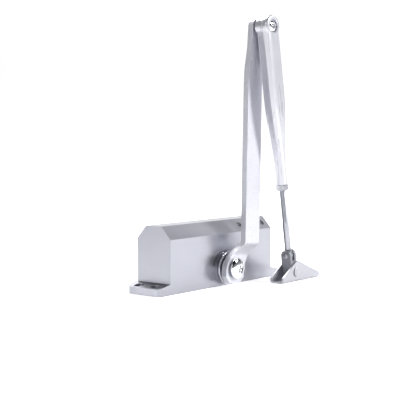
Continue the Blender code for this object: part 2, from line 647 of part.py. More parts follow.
def arm_shift(z):
    """Sideways crank at the bottom step, running out to nothing near the elbow."""
    fade = min(1.0, (ARM_CRANK_FADE - z) / (ARM_CRANK_FADE - ARM_STEP_END))
    return ARM_CRANK * smooth_step(z, 0, ARM_STEP_END) * max(fade, 0.0)


def arm_forward(z):
    first = ARM_STEP * smooth_step(z, ARM_STEP_START, ARM_STEP_END)
    return first + ARM_TOP_STEP * smooth_step(z, ARM_TOP_STEP_START, ARM_TOP_STEP_END)


def arm_stations():
    """Heights along the arm, close together where it bends or rounds off."""
    bottom = [-ARM_END_REACH, -ARM_END_REACH + ARM_END_CHAMFER, 0]
    step = [ARM_STEP_END * share / 10 for share in range(1, 11)]
    straight = [ARM_STEP_END + (ARM_TOP_STEP_START - ARM_STEP_END) * share / 3 for share in (1, 2, 3)]
    upper = [ARM_TOP_STEP_START + (ARM_LENGTH - ARM_TOP_STEP_START) * share / 8 for share in range(1, 9)]
    dome = [ARM_LENGTH + ARM_TOP_RADIUS * math.sin(math.radians(angle)) for angle in (18, 36, 54, 70, 82)]
    return bottom + step + straight + upper + dome


def arm_bar():
    bm = bmesh.new()
    rows = []
    for z in arm_stations():
        half, middle = arm_half_width(z), arm_shift(z)
        back = -(ARM_BACK + arm_forward(z))
        front = back - ARM_THICKNESS
        left, right = middle - half, middle + half
        corners = [(left, front), (right, front), (right, back), (left, back)]
        rows.append([bm.verts.new((x, y, z)) for x, y in corners])
    for low, high in zip(rows, rows[1:]):
        for side in range(4):
            after = (side + 1) % 4
            bm.faces.new((low[side], low[after], high[after], high[side]))
    bm.faces.new(rows[0])
    bm.faces.new(rows[-1])
    return bm


def make_main_arm(frame):
    arm = add_part("main_arm", "steel_silver", arm_bar(), frame)
    level = Matrix.Rotation(-ARM_LEAN, 4, "Y") @ ALONG_FRONT
    square_hole = prism(square(SPINDLE_SQUARE + 2 * GAP), ARM_BACK - GAP, ARM_FRONT + GAP, level)
    combine(arm, add_tool("arm_square", square_hole, frame), "DIFFERENCE")
    pin_hole = cylinder(ELBOW_SCREW_DIAMETER / 2 + GAP, ARM_BACK, FOREARM_FRONT, ALONG_FRONT)
    combine(arm, add_tool("arm_pin_hole", pin_hole, frame, (0, 0, ARM_LENGTH)), "DIFFERENCE")


def make_arm_screw(frame):
    washer = tube(SPINDLE_THREAD_HOLE / 2 + GAP, ARM_WASHER_DIAMETER / 2, ARM_FRONT + GAP,
                  ARM_FRONT + GAP + WASHER_THICKNESS, ALONG_FRONT, 28)
    add_part("arm_washer", "zinc_plate", washer, frame)
    seat = ARM_FRONT + 2 * GAP + WASHER_THICKNESS
    shank = SPINDLE_THREAD_HOLE / 2 - GAP
    head, height = ARM_SCREW_HEAD_DIAMETER / 2, ARM_SCREW_HEAD_HEIGHT
    tip = seat - ARM_SCREW_LENGTH
    profile = [(0, tip), (shank, tip), (shank, seat), (head, seat), (head, seat + height * 0.35),
               (head * 0.9, seat + height * 0.68), (head * 0.7, seat + height * 0.9),
               (head * 0.4, seat + height), (0, seat + height)]
    screw = add_part("arm_screw", "chrome", turned(profile, ALONG_FRONT, 28), frame)
    recess = prism(cross(CROSS_ARM_LENGTH, CROSS_ARM_WIDTH), seat + height - CROSS_DEPTH, seat + 2 * height,
                   ALONG_FRONT)
    combine(screw, add_tool("arm_screw_cross", recess, frame), "DIFFERENCE")


def make_elbow_screw(frame):
    """Screw, washer and bush of the elbow, held by the main arm."""
    shank = ELBOW_SCREW_DIAMETER / 2
    washer = tube(shank + GAP, ELBOW_WASHER_DIAMETER / 2, ARM_TOP_FRONT + GAP,
                  ARM_TOP_FRONT + GAP + ELBOW_WASHER_THICKNESS, ALONG_FRONT, 24)
    add_part("elbow_washer", "zinc_plate", washer, frame, (0, 0, ARM_LENGTH))
    sink_floor = FOREARM_FRONT - ELBOW_SINK_DEPTH
    bush = tube(shank + GAP, ELBOW_BUSH_DIAMETER / 2, FOREARM_BACK + GAP, sink_floor - GAP, ALONG_FRONT, 24)
    add_part("elbow_bush", "bronze", bush, frame, (0, 0, ARM_LENGTH))
    head, height = ELBOW_SCREW_HEAD_DIAMETER / 2, ELBOW_SCREW_HEAD_HEIGHT
    seat = sink_floor + GAP
    back = ARM_TOP_FRONT - ARM_THICKNESS + GAP
    profile = [(0, back), (shank, back), (shank, seat), (head, seat), (head, seat + height * 0.6),
               (head * 0.75, seat + height), (0, seat + height)]
    screw = add_part("elbow_screw", "chrome", turned(profile, ALONG_FRONT, 24), frame, (0, 0, ARM_LENGTH))
    small_cross = cross(CROSS_ARM_LENGTH * 0.75, CROSS_ARM_WIDTH * 0.75)
    recess = prism(small_cross, seat + height - CROSS_DEPTH * 0.75, seat + 2 * height, ALONG_FRONT)
    combine(screw, add_tool("elbow_screw_cross", recess, frame, (0, 0, ARM_LENGTH)), "DIFFERENCE")


# ---- Forearm, lock nut and rod ----

def forearm_sleeve():
    """Sleeve with a wide front face and a narrower back at the elbow, round at the neck."""
    stations = [0, FOREARM_TAPER_START]
    rise = FOREARM_TAPER_END - FOREARM_TAPER_START
    stations += [FOREARM_TAPER_START + rise * share / 7 for share in range(1, 8)]
    stations += [FOREARM_LENGTH]
    bm = bmesh.new()
    rows = []
    for station in stations:
        taper = smooth_step(station, FOREARM_TAPER_START, FOREARM_TAPER_END)
        half_width = FOREARM_WIDTH / 2 + (FOREARM_NECK_DIAMETER - FOREARM_WIDTH) / 2 * taper
        half_depth = FOREARM_DEPTH / 2 + (FOREARM_NECK_DIAMETER - FOREARM_DEPTH) / 2 * taper
        power = 2 / (5 - 3 * taper)
        row = []
        for index in range(32):
            angle = math.tau * (index + 0.5) / 32
            c, s = math.cos(angle), math.sin(angle)
            y = half_depth * math.copysign(abs(s) ** power, s)
            narrowing = (1 - FOREARM_BACK_SHARE) * (1 - taper) * smooth_step(y / half_depth, -0.2, 0.5)
            x = half_width * (1 - narrowing) * math.copysign(abs(c) ** power, c)
            row.append(bm.verts.new((x, ROD_Y + y, -station)))
        rows.append(row)
    for low, high in zip(rows, rows[1:]):
        for index in range(32):
            after = (index + 1) % 32
            bm.faces.new((low[index], low[after], high[after], high[index]))
    bm.faces.new(rows[0])
    bm.faces.new(rows[-1])
    return bm


def make_forearm(frame):
    hub, face = FOREARM_HUB_RADIUS, FOREARM_FRONT - FOREARM_FACE_DEPTH
    head = turned([(0, FOREARM_BACK), (hub, FOREARM_BACK), (hub, face), (FOREARM_HEAD_RADIUS, face),
                   (FOREARM_HEAD_RADIUS, FOREARM_FRONT), (0, FOREARM_FRONT)], ALONG_FRONT, LARGE_ROUND)
    forearm = add_part("forearm", "cast_silver", head, frame)
    combine(forearm, add_tool("sleeve_tool", forearm_sleeve(), frame), "UNION")
    bore = ELBOW_BUSH_DIAMETER / 2 + GAP
    sink = ELBOW_SINK_DIAMETER / 2
    floor = FOREARM_FRONT - ELBOW_SINK_DEPTH
    elbow_bore = turned([(0, 0), (bore, 0), (bore, floor), (sink, floor), (sink, 2 * FOREARM_FRONT),
                         (0, 2 * FOREARM_FRONT)], ALONG_FRONT, 24)
    combine(forearm, add_tool("elbow_bore", elbow_bore, frame), "DIFFERENCE")
    depth = FOREARM_LENGTH - ROD_ENGAGEMENT - ROD_ADJUST_IN - GAP
    rod_bore = cylinder(ROD_DIAMETER / 2 + GAP, -FOREARM_LENGTH - GAP, -depth)
    combine(forearm, add_tool("rod_bore", rod_bore, frame, (0, ROD_Y, 0)), "DIFFERENCE")


def make_lock_nut(frame):
    top = -FOREARM_LENGTH - GAP
    blank = prism(hexagon(LOCK_NUT_ACROSS), top - LOCK_NUT_HEIGHT, top)
    nut = add_part("lock_nut", "zinc_plate", blank, frame)
    hole = cylinder(ROD_DIAMETER / 2 + GAP, top - 2 * LOCK_NUT_HEIGHT, top + LOCK_NUT_HEIGHT)
    combine(nut, add_tool("nut_hole", hole, frame), "DIFFERENCE")


def make_rod(frame):
    eye_radius = ROD_EYE_WIDTH / 2
    plate_top = LINK_DEPTH / 2 + GAP
    shank_end = -ELBOW_TO_LINK_PIN + plate_top + GAP
    shank = cylinder(ROD_DIAMETER / 2, shank_end, -FOREARM_LENGTH + ROD_ENGAGEMENT)
    rod = add_part("rod", "zinc_plate", shank, frame)
    outline = arc((0, 0), eye_radius, 180, 360, 10)
    outline += [(ROD_DIAMETER / 2 - GAP, ROD_EYE_LENGTH), (GAP - ROD_DIAMETER / 2, ROD_EYE_LENGTH)]
    thick = ROD_EYE_THICKNESS / 2
    pin_place = (0, 0, -ELBOW_TO_LINK_PIN)
    combine(rod, add_tool("eye_tool", prism(outline, -thick, thick, ALONG_X), frame, pin_place), "UNION")
    hole = cylinder(LINK_PIN_DIAMETER / 2 + GAP, -LINK_WIDTH, LINK_WIDTH, ALONG_X, 16)
    combine(rod, add_tool("eye_hole", hole, frame, pin_place), "DIFFERENCE")


# ---- Link, shoe and pins ----

def headed_pin(diameter, grip, head_diameter, head_height, turn):
    """Pin with a low round head at each end, outside the grip."""
    shank, head = diameter / 2, head_diameter / 2
    seat = grip / 2 + GAP
    half = [(shank, seat), (head, seat), (head * 0.8, seat + head_height), (0, seat + head_height)]
    other = [(radius, -length) for radius, length in reversed(half)]
    return turned(other + half, turn)


def make_link(frame):
    half = LINK_DEPTH / 2
    outline = arc((0, 0), half, 0, 180, 12)
    outline += [(-half, -LINK_PIN_TO_SHOE_PIN - LINK_TAIL), (half, -LINK_PIN_TO_SHOE_PIN - LINK_TAIL)]
    link = add_part("link", "steel_silver", prism(outline, -LINK_WIDTH / 2, LINK_WIDTH / 2, ALONG_X), frame)
    slot_floor = -ROD_EYE_WIDTH / 2 - 2 * GAP
    slot = box((-LINK_SLOT / 2, LINK_SLOT / 2), (-LINK_DEPTH, LINK_DEPTH), (slot_floor, LINK_DEPTH))
    combine(link, add_tool("link_slot", slot, frame), "DIFFERENCE")
    upper = cylinder(LINK_PIN_DIAMETER / 2 + GAP, -LINK_WIDTH, LINK_WIDTH, ALONG_X, 16)
    combine(link, add_tool("link_upper_hole", upper, frame), "DIFFERENCE")
    lower = cylinder(SHOE_PIN_DIAMETER / 2 + GAP, -LINK_DEPTH, LINK_DEPTH, ALONG_FRONT, 16)
    combine(link, add_tool("link_lower_hole", lower, frame, (0, 0, -LINK_PIN_TO_SHOE_PIN)), "DIFFERENCE")
    add_part("link_pin", "zinc_plate", headed_pin(LINK_PIN_DIAMETER, LINK_WIDTH, LINK_PIN_HEAD_DIAMETER,
                                                  LINK_PIN_HEAD_HEIGHT, ALONG_X), frame)


def make_shoe(frame):
    base = -SHOE_PIN_HEIGHT
    top = base + SHOE_WALL_HEIGHT
    peak = SHOE_PEAK_SHIFT
    side = [(-SHOE_LEFT_REACH, base), (SHOE_RIGHT_REACH - SHOE_SHEET, base),
            (SHOE_RIGHT_REACH, base + SHOE_SHEET), (SHOE_RIGHT_REACH, base + SHOE_END_HEIGHT),
            (peak + SHOE_SHEET, top), (peak - SHOE_SHEET, top), (-SHOE_LEFT_REACH, base + SHOE_END_HEIGHT)]
    shoe = add_part("shoe", "steel_silver",
                    prism(side, -SHOE_OUTER_HALF, SHOE_OUTER_HALF, ALONG_FRONT), frame)
    far = SHOE_RIGHT_REACH * 2
    inside = (-SHOE_INNER_HALF, SHOE_INNER_HALF)
    channel = box((-far, far), inside, (base + SHOE_SHEET, SHOE_WALL_HEIGHT * 2))
    combine(shoe, add_tool("channel_tool", channel, frame), "DIFFERENCE")
    pin_hole = cylinder(SHOE_PIN_DIAMETER / 2 + GAP, -BODY_DEPTH, BODY_DEPTH, ALONG_FRONT, 16)
    combine(shoe, add_tool("shoe_pin_hole", pin_hole, frame), "DIFFERENCE")
    holes = {"left": SHOE_HOLE_INSET - SHOE_LEFT_REACH, "right": SHOE_RIGHT_REACH - SHOE_HOLE_INSET}
    for end, x in holes.items():
        hole = cylinder(SHOE_SCREW_HOLE / 2, base * 2, 0, UPRIGHT, 16)
        combine(shoe, add_tool(f"shoe_hole_{end}", hole, frame, (x, 0, 0)), "DIFFERENCE")
    pin = headed_pin(SHOE_PIN_DIAMETER, 2 * SHOE_OUTER_HALF, SHOE_PIN_HEAD_DIAMETER, SHOE_PIN_HEAD_HEIGHT,
                     ALONG_FRONT)
    add_part("shoe_pin", "zinc_plate", pin, frame)


def main():
    clear_scene()
    chamfer_middle_y = -HALF_DEPTH + CHAMFER_RUN / 2
    chamfer_middle_z = BODY_HEIGHT - CHAMFER_DROP / 2
    valve_frames = {}
    for name, x in (("closing_valve", CLOSING_VALVE_X), ("latching_valve", LATCHING_VALVE_X)):
        place = (x, chamfer_middle_y, chamfer_middle_z)
        valve_frames[name] = add_frame(f"{name}_axis", None, place, tilt_x=CHAMFER_TILT)
    make_housing(valve_frames)
    make_end_plug()
    make_spindle_fittings()
    make_dust_cap()
    for name, frame in valve_frames.items():
        make_valve(name, frame)
    make_piston(add_frame("piston_axis", None, (0, 0, BORE_HEIGHT)))
    make_main_spring()
    spindle = add_frame("spindle_axis", None, (SPINDLE_X, 0, SPINDLE_Z), tilt_y=ARM_LEAN)
    pinion = add_frame("pinion_axis", spindle, (0, 0, 0), tilt_y=-ARM_LEAN)
    make_pinion_shaft(pinion)
    make_main_arm(spindle)
    make_arm_screw(spindle)
    make_elbow_screw(spindle)
    elbow = add_frame("elbow_axis", spindle, (0, 0, ARM_LENGTH), tilt_y=-ARM_LEAN - ROD_LEAN)
    make_forearm(elbow)
    rod_line = add_frame("rod_axis", elbow, (0, ROD_Y, 0))
    make_lock_nut(rod_line)
    make_rod(rod_line)
    link = add_frame("link_axis", rod_line, (0, 0, -ELBOW_TO_LINK_PIN))
    make_link(link)
    shoe = add_frame("shoe_axis", link, (0, 0, -LINK_PIN_TO_SHOE_PIN), tilt_y=ROD_LEAN)
    make_shoe(shoe)


main()
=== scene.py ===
"""Door closer on a pale studio floor: housing, folded arms, rod and shoe.

Lengths are in millimetres and become metres in the mesh helpers.
Each piece is made in its own joint's frame: UPRIGHT for the housing, and one frame for
the spindle, the elbow, the rod line, the link and the shoe.
"""
import math

import bmesh
import bpy
from mathutils import Matrix, Vector


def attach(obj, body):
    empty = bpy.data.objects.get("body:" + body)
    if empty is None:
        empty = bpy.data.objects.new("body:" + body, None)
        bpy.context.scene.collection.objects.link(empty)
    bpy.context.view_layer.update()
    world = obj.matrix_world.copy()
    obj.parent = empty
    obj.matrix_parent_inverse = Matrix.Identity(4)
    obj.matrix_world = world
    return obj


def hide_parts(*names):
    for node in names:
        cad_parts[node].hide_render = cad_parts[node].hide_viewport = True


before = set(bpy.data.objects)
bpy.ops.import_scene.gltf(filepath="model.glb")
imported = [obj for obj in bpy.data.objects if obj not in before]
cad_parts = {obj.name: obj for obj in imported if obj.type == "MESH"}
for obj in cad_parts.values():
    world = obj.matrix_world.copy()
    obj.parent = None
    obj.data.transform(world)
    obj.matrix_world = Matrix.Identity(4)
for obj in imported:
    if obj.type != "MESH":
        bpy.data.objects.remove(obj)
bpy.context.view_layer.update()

MM = 0.001
GAP = 0.3

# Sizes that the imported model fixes.
BODY_LENGTH, BODY_DEPTH, BODY_HEIGHT = 152, 39, 60
CHAMFER_RUN, CHAMFER_DROP = 10.2, 11.4
EAR_LENGTH, EAR_ROOT_HEIGHT, EAR_TIP_HEIGHT, EAR_CORNER = 15, 9.5, 6.6, 5.5
EAR_HOLE_INSET, EAR_HOLE_SPACING = 9, 19
BOSS_RADIUS, BOSS_FACE, GLAND_START = 16, 23.3, 20
CYLINDER_LEFT, CYLINDER_RADIUS = -69, 14
BORE_HEIGHT, PLUG_SEAT_START, PLUG_SEAT = 36, 54.55, 31
CHAMBER_RADIUS, BEARING_RADIUS, BEARING_WIDTH, GLAND_THREAD_RADIUS = 9.2, 10, 3.6, 14
SPINDLE_X, SPINDLE_Z = 1, 17.3
GLAND_FRONT, GLAND_RIM, GLAND_WALL, GLAND_RECESS = 25.7, 31, 2.2, 1.9
CAP_HEIGHT, CAP_WALL = 8.5, 1.5
VALVE_HOLE, VALVE_DEPTH, VALVE_LENGTH = 6.6, 6.5, 5.2
VALVE_PLACES = {"closing_valve": 31, "latching_valve": 66.5}
ARM_LENGTH, ARM_LEAN = 222.9, math.radians(5.4)
ARM_BACK, ARM_THICKNESS = 26.9, 5.6
ARM_FRONT, ARM_TOP_FRONT = 32.5, 43.0
ARM_END_REACH, ARM_END_HALF, ARM_END_CHAMFER, ARM_TOP_RADIUS = 14.2, 13.5, 6, 8.5
ARM_STEP, ARM_STEP_START, ARM_STEP_END = 8.5, 11.5, 25
ARM_TOP_STEP, ARM_TOP_STEP_START, ARM_TOP_STEP_END = 2, 175, 207
ARM_CRANK, ARM_CRANK_FADE = 12.3, 215
ARM_WASHER_THICKNESS, ELBOW_SINK_DEPTH = 0.8, 3
ROD_LEAN = math.radians(9.8)
FOREARM_BACK, FOREARM_FRONT = 44.6, 60.0
FOREARM_LENGTH, ROD_Y = 147.5, -52.3
FOREARM_TAPER_START, FOREARM_TAPER_END = 62, 134
LOCK_NUT_HEIGHT, ROD_THREAD_END = 5.2, -185.0
ELBOW_TO_LINK_PIN, LINK_PIN_TO_SHOE_PIN, SHOE_PIN_HEIGHT = 217.014, 16.2, 9.4
LINK_HALF_WIDTH, LINK_HALF_DEPTH, LINK_SLOT_HALF, LINK_PIN_HOLE = 5.1, 5.5, 1.7, 2.1
SHOE_INNER, SHOE_OUTER, SHOE_SHEET, SHOE_WALL = 5.8, 7.4, 1.6, 19.6
SHOE_LEFT, SHOE_RIGHT, SHOE_END_HEIGHT, SHOE_HOLES = -22.5, 40.5, 5.2, (-16, 34)
SHOE_PIN_HOLE = 2.3
CHAMFER_TILT = math.atan2(CHAMFER_DROP, CHAMFER_RUN)

# Frames of the joints.
UPRIGHT = Matrix.Identity(4)


def placed(x, y, z, tilt=0.0):
    return Matrix.Translation(Vector((x, y, z)) * MM) @ Matrix.Rotation(tilt, 4, "Y")


SPINDLE = placed(SPINDLE_X, 0, SPINDLE_Z, ARM_LEAN)
ELBOW = SPINDLE @ placed(0, 0, ARM_LENGTH, -ARM_LEAN - ROD_LEAN)
ELBOW_ON_ARM = SPINDLE @ placed(0, 0, ARM_LENGTH)
ROD_LINE = ELBOW @ placed(0, ROD_Y, 0)
LINK = ROD_LINE @ placed(0, 0, -ELBOW_TO_LINK_PIN)
SHOE = LINK @ placed(0, 0, -LINK_PIN_TO_SHOE_PIN, ROD_LEAN)

# Turns a shape whose length is +Z to run along the body, towards the arm or away from it.
ALONG_X = Matrix(((0, 0, 1), (1, 0, 0), (0, 1, 0))).to_4x4()
ALONG_FRONT = Matrix.Rotation(math.radians(90), 4, "X")
ALONG_REAR = Matrix.Rotation(math.radians(-90), 4, "X")


# ---- Finishes ----

class Signal:
    """A number or colour on its way through a finish. Arithmetic on it adds the nodes."""

    def __init__(self, finish, socket):
        self.finish = finish
        self.socket = socket

    def math(self, operation, *values):
        return self.finish.node("ShaderNodeMath", {"operation": operation}, *values)

    def __add__(self, other):
        return self.math("ADD", self, other)

    def __sub__(self, other):
        return self.math("SUBTRACT", self, other)

    def __mul__(self, other):
        return self.math("MULTIPLY", self, other)

    def __rsub__(self, other):
        return self.math("SUBTRACT", other, self)

    __radd__ = __add__
    __rmul__ = __mul__

    def between(self, low, high):
        """0 at low, 1 at high, smooth in between and clamped outside."""
        settings = {"interpolation_type": "SMOOTHSTEP"}
        return self.finish.node("ShaderNodeMapRange", settings, self, low, high, 0.0, 1.0)


class Finish:
    """One surface finish: a Principled shader and the nodes that vary it."""

    def __init__(self, name, tilt=0.0, **constants):
        self.material = bpy.data.materials.new(name)
        self.material.use_nodes = True
        self.nodes = self.material.node_tree.nodes
        self.links = self.material.node_tree.links
        self.shader = self.nodes["Principled BSDF"]
        for socket, value in constants.items():
            self.shader.inputs[socket.replace("_", " ")].default_value = value
        self.place = self.node("ShaderNodeTexCoord", {}, output="Object")
        if tilt:
            self.place = self.node("ShaderNodeVectorRotate", {"rotation_type": "Y_AXIS"}, Vector=self.place,
                                   Angle=-tilt)

    def feed(self, socket, value):
        if isinstance(value, Signal):
            self.links.new(value.socket, socket)
        else:
            socket.default_value = value

    def node(self, kind, settings, *values, output=0, **named):
        """Add a node: its settings first, then the values or links of its sockets."""
        made = self.nodes.new(kind)
        for key, value in settings.items():
            setattr(made, key, value)
        for socket, value in zip(made.inputs, values):
            self.feed(socket, value)
        for key, value in named.items():
            self.feed(made.inputs[key.replace("_", " ")], value)
        return Signal(self, made.outputs[output])

    def stretched(self, x, y, z):
        """The piece's own coordinates, in cycles per metre along each axis."""
        return self.node("ShaderNodeVectorMath", {"operation": "MULTIPLY"}, self.place, (x, y, z))

    def noise(self, vector, detail=3.0, roughness=0.55):
        return self.node("ShaderNodeTexNoise", {}, Vector=vector, Scale=1.0, Detail=detail,
                         Roughness=roughness)

    def cells(self, vector):
        return self.node("ShaderNodeTexVoronoi", {"feature": "SMOOTH_F1"}, Vector=vector, Scale=1.0)

    def mix(self, share, first, second):
        mixed = self.nodes.new("ShaderNodeMix")
        mixed.data_type = "RGBA"
        self.feed(mixed.inputs["Factor"], share)
        self.feed(mixed.inputs[6], first)
        self.feed(mixed.inputs[7], second)
        return Signal(self, mixed.outputs[2])

    def relief(self, height, strength, distance):
        self.wear("Normal", self.node("ShaderNodeBump", {}, Height=height, Strength=strength,
                                      Distance=distance, output="Normal"))

    def wear(self, socket, value):
        self.feed(self.shader.inputs[socket], value)


def shade(red, green, blue):
    return (red, green, blue, 1.0)


def satin_casting(name, dark, light, roughness, lines=(15, 2500, 2500), metallic=0.9, tilt=0.0):
    """Silver casting with a satin lacquer: faint drawn lines, soft clouds and a fine grain."""
    finish = Finish(name, tilt, Metallic=metallic, Coat_Weight=0.15, Coat_Roughness=0.25)
    clouds = finish.noise(finish.stretched(26, 26, 26), 2.0)
    drawn = finish.noise(finish.stretched(*lines), 2.0)
    grain = finish.noise(finish.stretched(2600, 2600, 2600), 1.0)
    finish.wear("Base Color", finish.mix(clouds * 0.6 + drawn * 0.4, dark, light))
    finish.wear("Roughness", roughness + (drawn - 0.5) * 0.16 + (clouds - 0.5) * 0.08)
    finish.relief(drawn * 0.6 + grain * 0.4, 0.10, 0.00008)
    return finish


def hammered_paint(name, dark, light, roughness):
    """Silver paint with metal flake and a small hammered dimple."""
    finish = Finish(name, Metallic=0.35, Coat_Weight=0.25, Coat_Roughness=0.22)
    dimples = finish.cells(finish.stretched(900, 900, 900))
    flake = finish.noise(finish.stretched(3600, 3600, 3600), 1.0)
    clouds = finish.noise(finish.stretched(40, 40, 40), 2.0)
    tone = clouds * 0.3 + flake.between(0.35, 0.68) * 0.45 + dimples * 0.4
    finish.wear("Base Color", finish.mix(tone, dark, light))
    finish.wear("Roughness", roughness + (flake - 0.5) * 0.25 + (clouds - 0.5) * 0.08)
    finish.relief(dimples * 0.8 + flake * 0.2, 0.6, 0.0003)
    return finish


def bright_plate(name, dark, light, roughness, lines=(400, 400, 400), tilt=0.0):
    """Plated or turned metal: almost clean, with fine marks and a little haze."""
    finish = Finish(name, tilt, Metallic=1.0)
    marks = finish.noise(finish.stretched(*lines), 3.0)
    haze = finish.noise(finish.stretched(90, 90, 90), 2.0)
    finish.wear("Base Color", finish.mix(haze, dark, light))
    finish.wear("Roughness", roughness + (marks - 0.5) * roughness * 0.9)
    finish.relief(marks, 0.08, 0.00005)
    return finish


def matt_material(name, dark, light, roughness, metallic=0.0, grain=1500):
    finish = Finish(name, Metallic=metallic)
    fine = finish.noise(finish.stretched(grain, grain, grain), 2.0)
    broad = finish.noise(finish.stretched(60, 60, 60), 2.0)
    finish.wear("Base Color", finish.mix(fine * 0.5 + broad * 0.5, dark, light))
    finish.wear("Roughness", roughness + (fine - 0.5) * 0.12)
    finish.relief(fine, 0.25, 0.0001)
    return finish


HOUSING_SATIN = satin_casting("housing_satin", shade(0.33, 0.335, 0.375), shade(0.43, 0.435, 0.48), 0.32)
RING_SATIN = satin_casting("ring_satin", shade(0.50, 0.505, 0.56), shade(0.64, 0.645, 0.70), 0.30,
                           (900, 900, 900))
SLEEVE_SATIN = satin_casting("sleeve_satin", shade(0.64, 0.645, 0.70), shade(0.80, 0.805, 0.86), 0.30,
                             (900, 900, 10), 0.5, -ROD_LEAN)
ARM_PAINT = hammered_paint("arm_paint", shade(0.62, 0.625, 0.69), shade(0.86, 0.865, 0.93), 0.40)
SHOE_PAINT = hammered_paint("shoe_paint", shade(0.42, 0.425, 0.47), shade(0.60, 0.605, 0.66), 0.42)
LINK_CAST = hammered_paint("link_cast", shade(0.20, 0.205, 0.235), shade(0.36, 0.365, 0.41), 0.46)
CHROME = bright_plate("bright_chrome", shade(0.80, 0.81, 0.84), shade(0.90, 0.91, 0.93), 0.07)
ZINC = bright_plate("zinc_plate", shade(0.25, 0.255, 0.28), shade(0.38, 0.385, 0.42), 0.30)
DRAWN_ROD = bright_plate("drawn_rod", shade(0.32, 0.325, 0.36), shade(0.44, 0.445, 0.48), 0.30,
                         (2500, 2500, 60), -ROD_LEAN)
THREAD_STEEL = bright_plate("thread_steel", shade(0.36, 0.37, 0.41), shade(0.50, 0.51, 0.55), 0.36)
TURNED_STEEL = bright_plate("turned_steel", shade(0.28, 0.28, 0.31), shade(0.46, 0.46, 0.49), 0.34)
SPRING_STEEL = bright_plate("spring_steel", shade(0.12, 0.12, 0.13), shade(0.24, 0.24, 0.26), 0.40)
BRONZE = matt_material("sintered_bronze", shade(0.42, 0.27, 0.12), shade(0.62, 0.43, 0.22), 0.42, 1.0)
RUBBER = matt_material("black_rubber", shade(0.012, 0.012, 0.013), shade(0.03, 0.03, 0.032), 0.72)
CAP_PLASTIC = matt_material("cap_plastic", shade(0.30, 0.31, 0.34), shade(0.38, 0.39, 0.42), 0.5, 0.0, 2600)


# ---- Shapes, in millimetres ----

def scaled(points):
    return [tuple(value * MM for value in point) for point in points]


def turned(profile, turn=UPRIGHT, flats=48, ring=False):
    """Spin (radius, length) points about the length axis. A ring's profile closes on itself."""
    bm = bmesh.new()
    verts = [bm.verts.new((radius, 0.0, length)) for radius, length in scaled(profile)]
    edges = [bm.edges.new(pair) for pair in zip(verts, verts[1:])]
    if ring:
        edges.append(bm.edges.new((verts[-1], verts[0])))
    bmesh.ops.spin(bm, geom=verts + edges, cent=(0, 0, 0), axis=(0, 0, 1),
                   angle=math.tau, steps=flats, use_merge=True)
    bmesh.ops.remove_doubles(bm, verts=bm.verts, dist=1e-6)
    bmesh.ops.transform(bm, matrix=turn, verts=bm.verts)
    return bm


def cylinder(radius, start, end, turn=UPRIGHT, flats=48):
    return turned([(0, start), (radius, start), (radius, end), (0, end)], turn, flats)


def lofted(rows, turn=UPRIGHT):
    """Skin a stack of closed rows of points, with a face on each end."""
    bm = bmesh.new()
    made = [[bm.verts.new(point) for point in scaled(row)] for row in rows]
    for low, high in zip(made, made[1:]):
        for index in range(len(low)):
            after = (index + 1) % len(low)
            bm.faces.new((low[index], low[after], high[after], high[index]))
    bm.faces.new(made[0])
    bm.faces.new(made[-1])
    bmesh.ops.transform(bm, matrix=turn, verts=bm.verts)
    return bm


def prism(outline, start, end, turn=UPRIGHT):
    return lofted([[(x, y, z) for x, y in outline] for z in (start, end)], turn)


def arc(centre, radius, start_deg, end_deg, steps):
    angles = [math.radians(start_deg + (end_deg - start_deg) * i / steps) for i in range(steps + 1)]
    return [(centre[0] + radius * math.cos(a), centre[1] + radius * math.sin(a)) for a in angles]


def hexagon(across_flats):
    return arc((0, 0), across_flats / math.sqrt(3), 0, 300, 5)


def square(side):
    return [(-side / 2, -side / 2), (side / 2, -side / 2), (side / 2, side / 2), (-side / 2, side / 2)]


def rounded(corners, radius, steps=5):
    """An outline of straight sides with its corners rounded. A corner may bring its own radius."""
    outline = []
    for index, corner in enumerate(corners):
        here = Vector(corner[:2])
        size = corner[2] if len(corner) > 2 else radius
        before = (Vector(corners[index - 1][:2]) - here).normalized()
        after = (Vector(corners[(index + 1) % len(corners)][:2]) - here).normalized()
        half = before.angle(after) / 2
        reach = size / math.tan(half)
        centre = here + (before + after).normalized() * size / math.sin(half)
        first, last = here + before * reach - centre, here + after * reach - centre
        sweep = first.angle_signed(last)
        for step in range(steps + 1):
            turn = Matrix.Rotation(-sweep * step / steps, 2)
            outline.append(tuple(centre + turn @ first))
    return outline


def smooth_step(value, start, end):
    share = min(max((value - start) / (end - start), 0.0), 1.0)
    return share * share * (3 - 2 * share)


def solid(bm):
    """A throwaway object that holds a shape."""
    bmesh.ops.recalc_face_normals(bm, faces=bm.faces)
    mesh = bpy.data.meshes.new("shape")
    bm.to_mesh(mesh)
    bm.free()
    item = bpy.data.objects.new("shape", mesh)
    bpy.context.scene.collection.objects.link(item)
    return item


def carved(bm, *steps):
    """Cut shapes from a shape or join them on: steps are (operation, shape) pairs."""
    blank = solid(bm)
    tools = []
    for operation, shape in steps:
        tool = solid(shape)
        modifier = blank.modifiers.new("step", "BOOLEAN")
        modifier.operation = operation
        modifier.solver = "EXACT"
        modifier.object = tool
        tools.append(tool)
    evaluated = blank.evaluated_get(bpy.context.evaluated_depsgraph_get())
    mesh = bpy.data.meshes.new_from_object(evaluated)
    result = bmesh.new()
    result.from_mesh(mesh)
    bpy.data.meshes.remove(mesh)
    for item in [blank, *tools]:
        bpy.data.objects.remove(item, do_unlink=True)
    return result


def cut(bm, *shapes):
    return carved(bm, *[("DIFFERENCE", shape) for shape in shapes])


def moved(bm, x=0, y=0, z=0, turn=UPRIGHT):
    bmesh.ops.transform(bm, matrix=Matrix.Translation(Vector((x, y, z)) * MM) @ turn, verts=bm.verts)
    return bm


